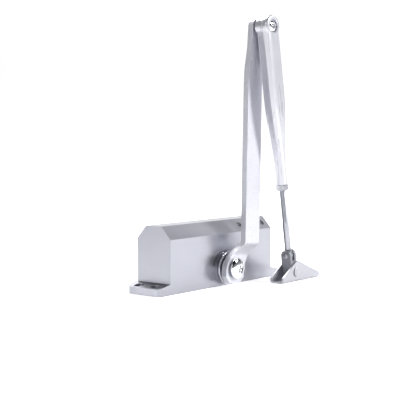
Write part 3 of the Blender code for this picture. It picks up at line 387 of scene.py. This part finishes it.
def piece(name, bm, at, body, finish, replaced=(), edge=0.0, segments=3, limit=32):
    """Put a finished piece in place: edges eased, finish on, riding on its body."""
    bmesh.ops.remove_doubles(bm, verts=bm.verts, dist=2e-6)
    bmesh.ops.dissolve_degenerate(bm, dist=1e-6, edges=bm.edges)
    bmesh.ops.recalc_face_normals(bm, faces=bm.faces)
    bmesh.ops.transform(bm, matrix=at, verts=bm.verts)
    mesh = bpy.data.meshes.new(name)
    bm.to_mesh(mesh)
    bm.free()
    mesh.shade_smooth()
    item = bpy.data.objects.new(name, mesh)
    bpy.context.scene.collection.objects.link(item)
    mesh.materials.append(finish.material)
    if edge:
        easing = item.modifiers.new("eased_edges", "BEVEL")
        easing.width = edge * MM
        easing.segments = segments
        easing.limit_method = "ANGLE"
        easing.angle_limit = math.radians(limit)
        easing.harden_normals = True
        easing.miter_outer = "MITER_ARC"
    else:
        mesh.set_sharp_from_angle(angle=math.radians(limit))
    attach(item, body)
    if replaced:
        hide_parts(*replaced)
    return item


# ---- Housing and what is fixed in it ----

def ear(side):
    root, tip = BODY_LENGTH / 2 - 6, BODY_LENGTH / 2 + EAR_LENGTH
    half = BODY_DEPTH / 2
    outline = [(root, -half)]
    outline += arc((tip - EAR_CORNER, -half + EAR_CORNER), EAR_CORNER, -90, 0, 10)
    outline += arc((tip - EAR_CORNER, half - EAR_CORNER), EAR_CORNER, 0, 90, 10)
    outline += [(root, half)]
    slope = (EAR_ROOT_HEIGHT - EAR_TIP_HEIGHT) / EAR_LENGTH
    bottom = [(x * side, y, 0) for x, y in outline]
    top = [(x * side, y, EAR_TIP_HEIGHT + slope * (tip - x)) for x, y in outline]
    return lofted([bottom, top])


def ear_hole(side, across):
    top = EAR_TIP_HEIGHT + (EAR_ROOT_HEIGHT - EAR_TIP_HEIGHT) * EAR_HOLE_INSET / EAR_LENGTH
    profile = [(0, -5), (2.7, -5), (2.7, top - 2), (4.5, top - 1.9), (4.5, top + 8), (0, top + 8)]
    return moved(turned(profile, UPRIGHT, 40), side * (BODY_LENGTH / 2 + EAR_HOLE_INSET),
                 across * EAR_HOLE_SPACING / 2)


def valve_frame(x):
    y = -BODY_DEPTH / 2 + CHAMFER_RUN / 2
    z = BODY_HEIGHT - CHAMFER_DROP / 2
    return Matrix.Translation(Vector((x, y, z)) * MM) @ Matrix.Rotation(CHAMFER_TILT, 4, "X")


def make_housing():
    half, top = BODY_DEPTH / 2, BODY_HEIGHT
    section = [(-half, 0), (half, 0), (half, top - CHAMFER_DROP), (half - CHAMFER_RUN, top),
               (-half + CHAMFER_RUN, top), (-half, top - CHAMFER_DROP)]
    bm = prism(section, -BODY_LENGTH / 2, BODY_LENGTH / 2, ALONG_X)
    steps = [("UNION", ear(side)) for side in (-1, 1)]
    past = BODY_LENGTH / 2 + 14
    bore = turned([(0, CYLINDER_LEFT), (CYLINDER_RADIUS, CYLINDER_LEFT), (CYLINDER_RADIUS, PLUG_SEAT_START),
                   (PLUG_SEAT / 2, PLUG_SEAT_START), (PLUG_SEAT / 2, past), (0, past)], ALONG_X, 72)
    steps.append(("DIFFERENCE", moved(bore, 0, 0, BORE_HEIGHT)))
    boss = cylinder(BOSS_RADIUS, -BOSS_FACE, BOSS_FACE, ALONG_FRONT, 96)
    steps.append(("UNION", moved(boss, SPINDLE_X, 0, SPINDLE_Z)))
    thread, seat = GLAND_START - GAP, GLAND_START - 2 * GAP - BEARING_WIDTH
    half_bore = [(CHAMBER_RADIUS, seat), (BEARING_RADIUS, seat), (BEARING_RADIUS, thread),
                 (GLAND_THREAD_RADIUS, thread), (GLAND_THREAD_RADIUS, 30), (0, 30)]
    spindle = turned([(r, -z) for r, z in reversed(half_bore)] + half_bore, ALONG_FRONT, 72)
    steps.append(("DIFFERENCE", moved(spindle, SPINDLE_X, 0, SPINDLE_Z)))
    steps += [("DIFFERENCE", ear_hole(side, across)) for side in (-1, 1) for across in (-1, 1)]
    for x in VALVE_PLACES.values():
        radius = VALVE_HOLE / 2
        hole = turned([(0, -16), (1, -16), (1, -VALVE_DEPTH), (radius, -VALVE_DEPTH), (radius, 7), (0, 7)],
                      UPRIGHT, 40)
        bmesh.ops.transform(hole, matrix=valve_frame(x), verts=hole.verts)
        steps.append(("DIFFERENCE", hole))
    piece("housing_casting", carved(bm, *steps), UPRIGHT, "housing_body", HOUSING_SATIN,
          ["housing"], 0.55)


def make_gland_rings():
    rim, wall = GLAND_RIM / 2, GLAND_RIM / 2 - GLAND_WALL
    floor = GLAND_FRONT - GLAND_RECESS
    ease = 0.45
    face = BOSS_FACE + GAP
    bore, thread = BEARING_RADIUS + GAP, GLAND_THREAD_RADIUS - GAP
    profile = [(bore, GLAND_START), (thread, GLAND_START), (thread, face), (rim - 0.2, face),
               (rim, face + 0.2), (rim, GLAND_FRONT - ease)]
    profile += [(rim - ease + r, z) for r, z in arc((0, GLAND_FRONT - ease), ease, 15, 90, 4)]
    profile += [(wall + 0.25, GLAND_FRONT), (wall, GLAND_FRONT - 0.25), (wall, floor + 0.2),
                (wall - 0.2, floor), (bore, floor)]
    at = placed(SPINDLE_X, 0, SPINDLE_Z)
    for end, turn in (("front", ALONG_FRONT), ("rear", ALONG_REAR)):
        piece(f"threaded_ring_{end}", turned(profile, turn, 96, ring=True), at, "housing_body", RING_SATIN,
              [f"gland_ring_{end}"])


def make_end_plug():
    outer = PLUG_SEAT / 2 - GAP
    start, end = PLUG_SEAT_START + GAP, BODY_LENGTH / 2 - GAP
    profile = [(0, start), (outer, start), (outer, start + 2), (outer - 2, start + 2),
               (outer - 2, start + 6), (outer, start + 6), (outer, end - 0.8), (outer - 0.8, end), (0, end)]
    socket = prism(hexagon(10), end - 8, end + 5, ALONG_X)
    lead = turned([(0, end - 0.9), (5.1, end - 0.9), (6.1, end + 0.1), (0, end + 0.1)], ALONG_X)
    plug = cut(turned(profile, ALONG_X, 72), socket, lead)
    piece("plug_with_socket", plug, placed(0, 0, BORE_HEIGHT), "housing_body", TURNED_STEEL, ["end_plug"])


def make_dust_cap():
    outer = GLAND_RIM / 2 - GLAND_WALL - GAP
    start = GLAND_FRONT - GLAND_RECESS + GAP
    end = start + CAP_HEIGHT
    profile = [(0, end - CAP_WALL), (outer - 2.6, end - CAP_WALL)]
    profile += [(outer - 2.6 + r, z) for r, z in arc((0, end - 2.6), 1.1, 90, 0, 4)]
    profile += [(outer - CAP_WALL, start), (outer, start), (outer, end - 2.6)]
    profile += [(outer - 2.6 + r, z) for r, z in arc((0, end - 2.6), 2.6, 0, 90, 6)[1:]]
    profile += [(outer * 0.55, end), (outer * 0.52, end - 0.35), (0, end - 0.35)]
    piece("pressed_dust_cap", turned(profile, ALONG_REAR, 72), placed(SPINDLE_X, 0, SPINDLE_Z),
          "housing_body", CAP_PLASTIC, ["dust_cap"])


def make_valves():
    bottom = -VALVE_DEPTH + GAP
    top = bottom + VALVE_LENGTH
    low, high = bottom + 1.75, bottom + 3.45
    profile = [(0, bottom), (3, bottom), (3, low), (2, low), (2, high), (3, high), (3, top - 0.3),
               (2.7, top), (0, top)]
    for name, x in VALVE_PLACES.items():
        slot = prism([(-4, -0.5), (4, -0.5), (4, 0.5), (-4, 0.5)], top - 1, top + 1)
        piece(f"{name}_screw", cut(turned(profile, UPRIGHT, 40), slot), valve_frame(x), f"{name}_body",
              TURNED_STEEL, [name])


# ---- Arms ----

def arm_half_width(z):
    if z > ARM_LENGTH:
        return math.sqrt(max(ARM_TOP_RADIUS ** 2 - (z - ARM_LENGTH) ** 2, 0.0))
    bottom = ARM_END_HALF - max(0.0, ARM_END_CHAMFER - (z + ARM_END_REACH))
    bar = bottom - 2.75 * smooth_step(z, 0, ARM_STEP_END)
    return bar - 2.25 * smooth_step(z, ARM_TOP_STEP_START, ARM_LENGTH)


def arm_shift(z):
    fade = min(1.0, (ARM_CRANK_FADE - z) / (ARM_CRANK_FADE - ARM_STEP_END))
    return ARM_CRANK * smooth_step(z, 0, ARM_STEP_END) * max(fade, 0.0)


def arm_forward(z):
    lower = ARM_STEP * smooth_step(z, ARM_STEP_START, ARM_STEP_END)
    return lower + ARM_TOP_STEP * smooth_step(z, ARM_TOP_STEP_START, ARM_TOP_STEP_END)


def make_main_arm():
    straight, top = ARM_TOP_STEP_START - ARM_STEP_END, ARM_LENGTH - ARM_TOP_STEP_START
    stations = [-ARM_END_REACH, ARM_END_CHAMFER - ARM_END_REACH, 0]
    stations += [ARM_STEP_END * share / 20 for share in range(1, 21)]
    stations += [ARM_STEP_END + straight * share / 4 for share in (1, 2, 3, 4)]
    stations += [ARM_TOP_STEP_START + top * share / 16 for share in range(1, 17)]
    stations += [ARM_LENGTH + ARM_TOP_RADIUS * math.sin(math.radians(angle)) for angle in range(9, 88, 6)]
    rows = []
    for z in stations:
        half, middle = arm_half_width(z), arm_shift(z)
        back = -(ARM_BACK + arm_forward(z))
        front = back - ARM_THICKNESS
        rows.append([(middle - half, front, z), (middle + half, front, z), (middle + half, back, z),
                     (middle - half, back, z)])
    level = Matrix.Rotation(-ARM_LEAN, 4, "Y") @ ALONG_FRONT
    hole = prism(square(8.8), ARM_BACK - 2, ARM_FRONT + 2, level)
    pin = moved(cylinder(3.3, ARM_BACK, FOREARM_FRONT, ALONG_FRONT), 0, 0, ARM_LENGTH)
    piece("painted_arm", cut(lofted(rows), hole, pin), SPINDLE, "spindle_body", ARM_PAINT,
          ["main_arm"], 0.8, 4, 40)


def cross_recess(length, width, deep, top):
    """Tapered cross-slot recess with rounded tips."""
    rows = []
    for share, z in ((1.25, top + deep), (1.0, top), (0.62, top - deep)):
        row = []
        for quarter in range(4):
            turn = Matrix.Rotation(quarter * math.pi / 2, 2)
            far, near = length / 2 * share, width / 2 * (0.45 + 0.55 * share)
            for x, y in ((far - near * 0.4, -near), (far, -near * 0.5), (far, near * 0.5),
                         (far - near * 0.4, near), (near * 1.35, near), (near, near * 1.35)):
                x, y = turn @ Vector((x, y))
                row.append((x, y, z))
        rows.append(row)
    return lofted(rows, ALONG_FRONT)


def pan_head(seat, radius, height, shank, length):
    """Pan-head screw profile: flat seat, upright rim and a domed top."""
    tip = seat - length
    profile = [(0, tip), (shank - 0.6, tip), (shank, tip + 0.6), (shank, seat),
               (radius - 0.25, seat), (radius, seat + 0.3), (radius, seat + height * 0.3)]
    for step in range(1, 13):
        angle = math.radians(90 * step / 12)
        profile.append((radius * math.cos(angle) ** 0.75 if step < 12 else 0,
                        seat + height * (0.3 + 0.7 * math.sin(angle) ** 1.15)))
    return turned(profile, ALONG_FRONT, 72)


def washer(inner, outer, start, thickness):
    ease = thickness * 0.22
    end = start + thickness
    profile = [(inner, start), (outer - ease, start), (outer, start + ease), (outer, end - ease),
               (outer - ease, end), (inner, end)]
    return turned(profile, ALONG_FRONT, 64, ring=True)


def make_arm_screws():
    under_head = washer(3.1, 9, ARM_FRONT + GAP, ARM_WASHER_THICKNESS)
    piece("plain_washer", under_head, SPINDLE, "spindle_body", ZINC, ["arm_washer"])
    seat = ARM_FRONT + 2 * GAP + ARM_WASHER_THICKNESS
    head = cut(pan_head(seat, 9.6, 3.8, 2.5, 9), cross_recess(8.2, 2.0, 2.0, seat + 3.75))
    piece("arm_cross_screw", head, SPINDLE, "spindle_body", CHROME, ["arm_screw"], 0.12, 2)
    piece("elbow_thin_washer", washer(3.3, 7, ARM_TOP_FRONT + GAP, 1), ELBOW_ON_ARM, "spindle_body",
          TURNED_STEEL, ["elbow_washer"])
    seat = FOREARM_FRONT - ELBOW_SINK_DEPTH + GAP
    length = seat - (ARM_TOP_FRONT - ARM_THICKNESS + GAP)
    head = cut(pan_head(seat, 5.3, 2.6, 3, length), cross_recess(6, 1.5, 1.5, seat + 2.55))
    piece("elbow_cross_screw", head, ELBOW_ON_ARM, "spindle_body", CHROME, ["elbow_screw"], 0.1, 2)


def sleeve_row(station, count=96):
    """One ring of the sleeve: boxy with fluted sides at the elbow, round at the neck."""
    taper = smooth_step(station, FOREARM_TAPER_START, FOREARM_TAPER_END)
    half_width = 10.2 - 4.8 * taper
    half_depth = 7.7 - 2.3 * taper
    power = 2 / (5 - 3 * taper)
    ends = smooth_step(station, 0, 6) * (1 - smooth_step(station, FOREARM_TAPER_END, 143))
    flute = 0.5 * (1 - 0.6 * taper) * ends
    row = []
    for index in range(count):
        angle = math.tau * (index + 0.5) / count
        c, s = math.cos(angle), math.sin(angle)
        y = half_depth * math.copysign(abs(s) ** power, s)
        across = y / half_depth
        narrowing = 0.28 * (1 - taper) * smooth_step(across, -0.2, 0.5)
        x = half_width * (1 - narrowing) * math.copysign(abs(c) ** power, c)
        side = 1 - smooth_step(abs(across), 0.72, 0.9)
        x -= math.copysign(flute * side * (0.5 - 0.5 * math.cos(across * math.pi * 4.2)), c)
        row.append((x, ROD_Y + y, -station))
    return row


def make_forearm():
    taper = FOREARM_TAPER_END - FOREARM_TAPER_START
    stations = [0, 2, 4, 6, 20, 40, 55]
    stations += [FOREARM_TAPER_START + taper * share / 18 for share in range(19)]
    stations += [138, 143, 147, FOREARM_LENGTH]
    seam = FOREARM_FRONT - 6.2
    rear, front = 8.5, 10.4
    profile = [(0, FOREARM_BACK), (rear - 0.5, FOREARM_BACK), (rear, FOREARM_BACK + 0.5)]
    for groove in (seam - 5.2, seam - 2.4):
        profile += [(rear, groove - 0.4), (rear - 0.35, groove), (rear, groove + 0.4)]
    profile += [(rear, seam)]
    profile += [(front - 1 + r, z) for r, z in arc((0, seam + 1), 1, -90, 0, 4)]
    profile += [(front - 2 + r, z) for r, z in arc((0, FOREARM_FRONT - 2), 2, 0, 90, 7)]
    profile += [(0, FOREARM_FRONT)]
    head = turned(profile, ALONG_FRONT, 96)
    floor = FOREARM_FRONT - ELBOW_SINK_DEPTH
    bore = turned([(0, 40), (5.1, 40), (5.1, floor), (6.2, floor), (6.2, FOREARM_FRONT - 0.3),
                   (6.6, FOREARM_FRONT + 0.1), (6.6, 70), (0, 70)], ALONG_FRONT, 64)
    rod_bore = moved(cylinder(3.3, -FOREARM_LENGTH - 2, -95.2), 0, ROD_Y)
    mouth = moved(turned([(0, -152), (3.9, -152), (3.9, -FOREARM_LENGTH), (3.3, -146.9), (0, -146.9)]),
                  0, ROD_Y)
    shape = carved(head, ("UNION", lofted([sleeve_row(s) for s in stations])), ("DIFFERENCE", bore),
                   ("DIFFERENCE", rod_bore), ("DIFFERENCE", mouth))
    piece("fluted_sleeve", shape, ELBOW, "forearm_body", SLEEVE_SATIN, ["forearm"], 0, limit=38)


def threaded(radius, depth, pitch, start, end, flats=32):
    """Cylinder whose surface carries a real helical V thread."""
    steps = int((end - start) / pitch * 6)
    rows = []
    for step in range(steps + 1):
        z = start + (end - start) * step / steps
        fade = min(1.0, (z - start) / pitch, (end - z) / pitch)
        row = []
        for index in range(flats):
            phase = (z / pitch - index / flats) % 1.0
            r = radius - depth * fade * (1 - abs(2 * phase - 1)) - 0.02
            angle = math.tau * index / flats
            row.append((r * math.cos(angle), r * math.sin(angle), z))
        rows.append(row)
    return lofted(rows)


def make_rod():
    thread = threaded(3, 0.5, 1.0, ROD_THREAD_END, -105.5)
    piece("rod_thread", thread, ROD_LINE, "rod_body", THREAD_STEEL, ["rod"], 0, limit=80)
    end = -ELBOW_TO_LINK_PIN + 5.6
    top = ROD_THREAD_END + 0.2
    shank = turned([(0, end), (2.6, end), (3, end + 0.4), (3, top), (0, top)], UPRIGHT, 48)
    outline = arc((0, 0), 4.5, 180, 360, 20) + [(2.7, 7), (-2.7, 7)]
    eye = moved(prism(outline, -1.4, 1.4, ALONG_X), 0, 0, -ELBOW_TO_LINK_PIN)
    hole = moved(cylinder(2.1, -6, 6, ALONG_X, 32), 0, 0, -ELBOW_TO_LINK_PIN)
    shape = carved(shank, ("UNION", eye), ("DIFFERENCE", hole))
    piece("rod_shank", shape, ROD_LINE, "rod_body", DRAWN_ROD, [], 0.25, 2, 40)


def make_lock_nut():
    top = -FOREARM_LENGTH - GAP
    bottom = top - LOCK_NUT_HEIGHT
    blank = prism(hexagon(10), bottom, top)
    crown = turned([(0, bottom), (5.05, bottom), (5.9, bottom + 0.5), (5.9, top - 0.5), (5.05, top),
                    (0, top)], UPRIGHT, 64)
    hole = turned([(0, top - 9), (3.7, top - 9), (3.7, bottom), (3.3, bottom + 0.4),
                   (3.3, top - 0.4), (3.7, top), (3.7, top + 4), (0, top + 4)], UPRIGHT, 48)
    nut = carved(blank, ("INTERSECT", crown), ("DIFFERENCE", hole))
    piece("chamfered_nut", nut, ROD_LINE, "lock_nut_body", ZINC, ["lock_nut"], 0.1, 2)


# ---- Link and shoe ----

def rivet(shank, grip, head, height, turn):
    """Pin with a low domed head at each end, outside the grip."""
    seat = grip / 2 + GAP
    half = [(shank, seat), (head - 0.15, seat), (head, seat + 0.15), (head, seat + height * 0.35)]
    half += [(head * math.cos(math.radians(a)), seat + height * (0.35 + 0.65 * math.sin(math.radians(a))))
             for a in (20, 38, 55, 72)]
    half += [(0, seat + height)]
    return turned([(r, -z) for r, z in reversed(half)] + half, turn, 48)


def make_link():
    tail = -LINK_PIN_TO_SHOE_PIN - 4.6
    half, slot_half = LINK_HALF_DEPTH, LINK_SLOT_HALF
    outline = arc((0, 0), half, 0, 180, 24)
    outline += [(-half, tail + 1), (1 - half, tail), (half - 1, tail), (half, tail + 1)]
    slot = prism([(-slot_half, -12), (slot_half, -12), (slot_half, 12), (-slot_half, 12)],
                 -LINK_HALF_WIDTH, 12)
    upper = cylinder(LINK_PIN_HOLE, -9, 9, ALONG_X, 32)
    lower = moved(cylinder(SHOE_PIN_HOLE, -9, 9, ALONG_FRONT, 32), 0, 0, -LINK_PIN_TO_SHOE_PIN)
    shape = cut(prism(outline, -LINK_HALF_WIDTH, LINK_HALF_WIDTH, ALONG_X), slot, upper, lower)
    piece("cast_link", shape, LINK, "link_body", LINK_CAST, ["link"], 0.45, 3, 40)
    pin = rivet(1.8, 2 * LINK_HALF_WIDTH, 2.8, 0.8, ALONG_X)
    piece("link_rivet", pin, LINK, "link_body", ZINC, ["link_pin"])


def make_shoe():
    base, inner, outer, sheet = -SHOE_PIN_HEIGHT, SHOE_INNER, SHOE_OUTER, SHOE_SHEET
    top = base + SHOE_WALL
    bend = 1.0
    channel = [(-outer, top + 3)]
    channel += arc((-outer + bend + sheet, base + bend + sheet), bend + sheet, 180, 270, 6)
    channel += arc((outer - bend - sheet, base + bend + sheet), bend + sheet, 270, 360, 6)
    channel += [(outer, top + 3), (inner, top + 3)]
    channel += arc((inner - bend, base + sheet + bend), bend, 0, -90, 5)
    channel += arc((-inner + bend, base + sheet + bend), bend, -90, -180, 5)
    channel += [(-inner, top + 3)]
    low = base + SHOE_END_HEIGHT
    side = rounded([(SHOE_LEFT, base, 0.4), (SHOE_RIGHT, base, 1.2), (SHOE_RIGHT, low, 2.2),
                    (3.8, top, 1.6), (0.2, top, 1.6), (SHOE_LEFT, low, 1.2)], 1.0)
    shape = prism(channel, -27, 47, ALONG_X)
    steps = [("INTERSECT", prism(side, -9, 9, ALONG_FRONT))]
    steps.append(("DIFFERENCE", cylinder(SHOE_PIN_HOLE, -12, 12, ALONG_FRONT, 32)))
    for x in SHOE_HOLES:
        steps.append(("DIFFERENCE", moved(cylinder(2.2, base - 2, base + 6), x)))
    piece("folded_shoe", carved(shape, *steps), SHOE, "shoe_body", SHOE_PAINT, ["shoe"], 0.28, 2, 40)
    pin = rivet(2, 2 * SHOE_OUTER, 4.5, 1.1, ALONG_FRONT)
    piece("shoe_rivet", pin, SHOE, "shoe_body", SHOE_PAINT, ["shoe_pin"])


# ---- CAD pieces that stay as they are ----

KEPT = {
    "pinion_shaft": TURNED_STEEL, "piston": TURNED_STEEL,
    "check_ball": CHROME, "check_ball_cage": TURNED_STEEL, "main_spring": SPRING_STEEL,
    "bearing_front": BRONZE, "bearing_rear": BRONZE, "elbow_bush": BRONZE,
    "spindle_seal_front": RUBBER, "spindle_seal_rear": RUBBER, "end_plug_oring": RUBBER,
    "closing_valve_oring": RUBBER, "latching_valve_oring": RUBBER,
}


def finish_kept_nodes():
    for name, finish in KEPT.items():
        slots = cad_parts[name].data.materials
        slots.clear()
        slots.append(finish.material)


# ---- Studio ----

def make_floor():
    """Pale floor that sweeps up behind the closer."""
    profile = [(-4.0, -0.0005), (1.6, -0.0005)]
    profile += [(1.6 + 1.2 * math.sin(a), 1.1995 - 1.2 * math.cos(a))
                for a in [math.radians(90 * i / 12) for i in range(1, 13)]]
    profile += [(2.8, 5.0)]
    bm = bmesh.new()
    rows = [[bm.verts.new((x, y, z)) for x in (-5.0, 5.0)] for y, z in profile]
    for low, high in zip(rows, rows[1:]):
        bm.faces.new((low[0], low[1], high[1], high[0]))
    mesh = bpy.data.meshes.new("pale_floor")
    bm.to_mesh(mesh)
    bm.free()
    mesh.shade_smooth()
    floor = bpy.data.objects.new("pale_floor", mesh)
    bpy.context.scene.collection.objects.link(floor)
    finish = matt_material("pale_paper", shade(0.93, 0.93, 0.94), shade(0.97, 0.97, 0.98), 0.9, 0.0, 40)
    finish.shader.inputs["Emission Color"].default_value = shade(1.0, 1.0, 1.0)
    finish.shader.inputs["Emission Strength"].default_value = 0.72
    mesh.materials.append(finish.material)
    floor.visible_diffuse = False
    floor.matrix_world = Matrix.Rotation(math.radians(-51.3), 4, "Z")


def lamp(name, place, aim, width, height, watts):
    data = bpy.data.lights.new(name, "AREA")
    data.shape = "RECTANGLE"
    data.size, data.size_y, data.energy = width, height, watts
    item = bpy.data.objects.new(name, data)
    bpy.context.scene.collection.objects.link(item)
    item.location = place
    item.rotation_euler = (Vector(aim) - Vector(place)).to_track_quat("-Z", "Y").to_euler()


def make_studio():
    world = bpy.data.worlds.new("studio")
    bpy.context.scene.world = world
    world.use_nodes = True
    nodes, links = world.node_tree.nodes, world.node_tree.links
    direction = nodes.new("ShaderNodeTexCoord")
    upward = nodes.new("ShaderNodeSeparateXYZ")
    dome = nodes.new("ShaderNodeValToRGB")
    for at, level in ((0.0, 0.6), (0.12, 0.5), (0.3, 0.06), (0.55, 0.02)):
        stop = dome.color_ramp.elements[0] if at == 0.0 else dome.color_ramp.elements.new(at)
        stop.position, stop.color = at, shade(level * 0.96, level * 0.97, level)
    dome.color_ramp.elements.remove(dome.color_ramp.elements[-1])
    links.new(direction.outputs["Generated"], upward.inputs[0])
    links.new(upward.outputs["Z"], dome.inputs["Fac"])
    links.new(dome.outputs["Color"], nodes["Background"].inputs["Color"])
    nodes["Background"].inputs["Strength"].default_value = 0.6
    lamp("key", (0.95, -1.55, 1.0), (0, 0, 0.12), 0.4, 0.4, 40)
    lamp("side", (-1.7, 0.15, 0.8), (0, 0, 0.1), 1.0, 1.2, 10)
    lamp("top", (0.3, 0.9, 1.4), (0, 0, 0.05), 0.8, 0.8, 30)
    make_floor()


def make_camera():
    data = bpy.data.cameras.new("camera")
    data.lens, data.sensor_width = 86.54, 36
    camera = bpy.data.objects.new("camera", data)
    bpy.context.scene.collection.objects.link(camera)
    camera.location = (-0.733, -0.588, 0.139)
    camera.rotation_euler = (math.radians(90 - 4.1), math.radians(0.07), math.radians(-51.3))
    bpy.context.scene.camera = camera
    bpy.context.scene.view_settings.view_transform = "Standard"


make_camera()
make_studio()
make_housing()
make_gland_rings()
make_end_plug()
make_dust_cap()
make_valves()
make_main_arm()
make_arm_screws()
make_forearm()
make_rod()
make_lock_nut()
make_link()
make_shoe()
finish_kept_nodes()
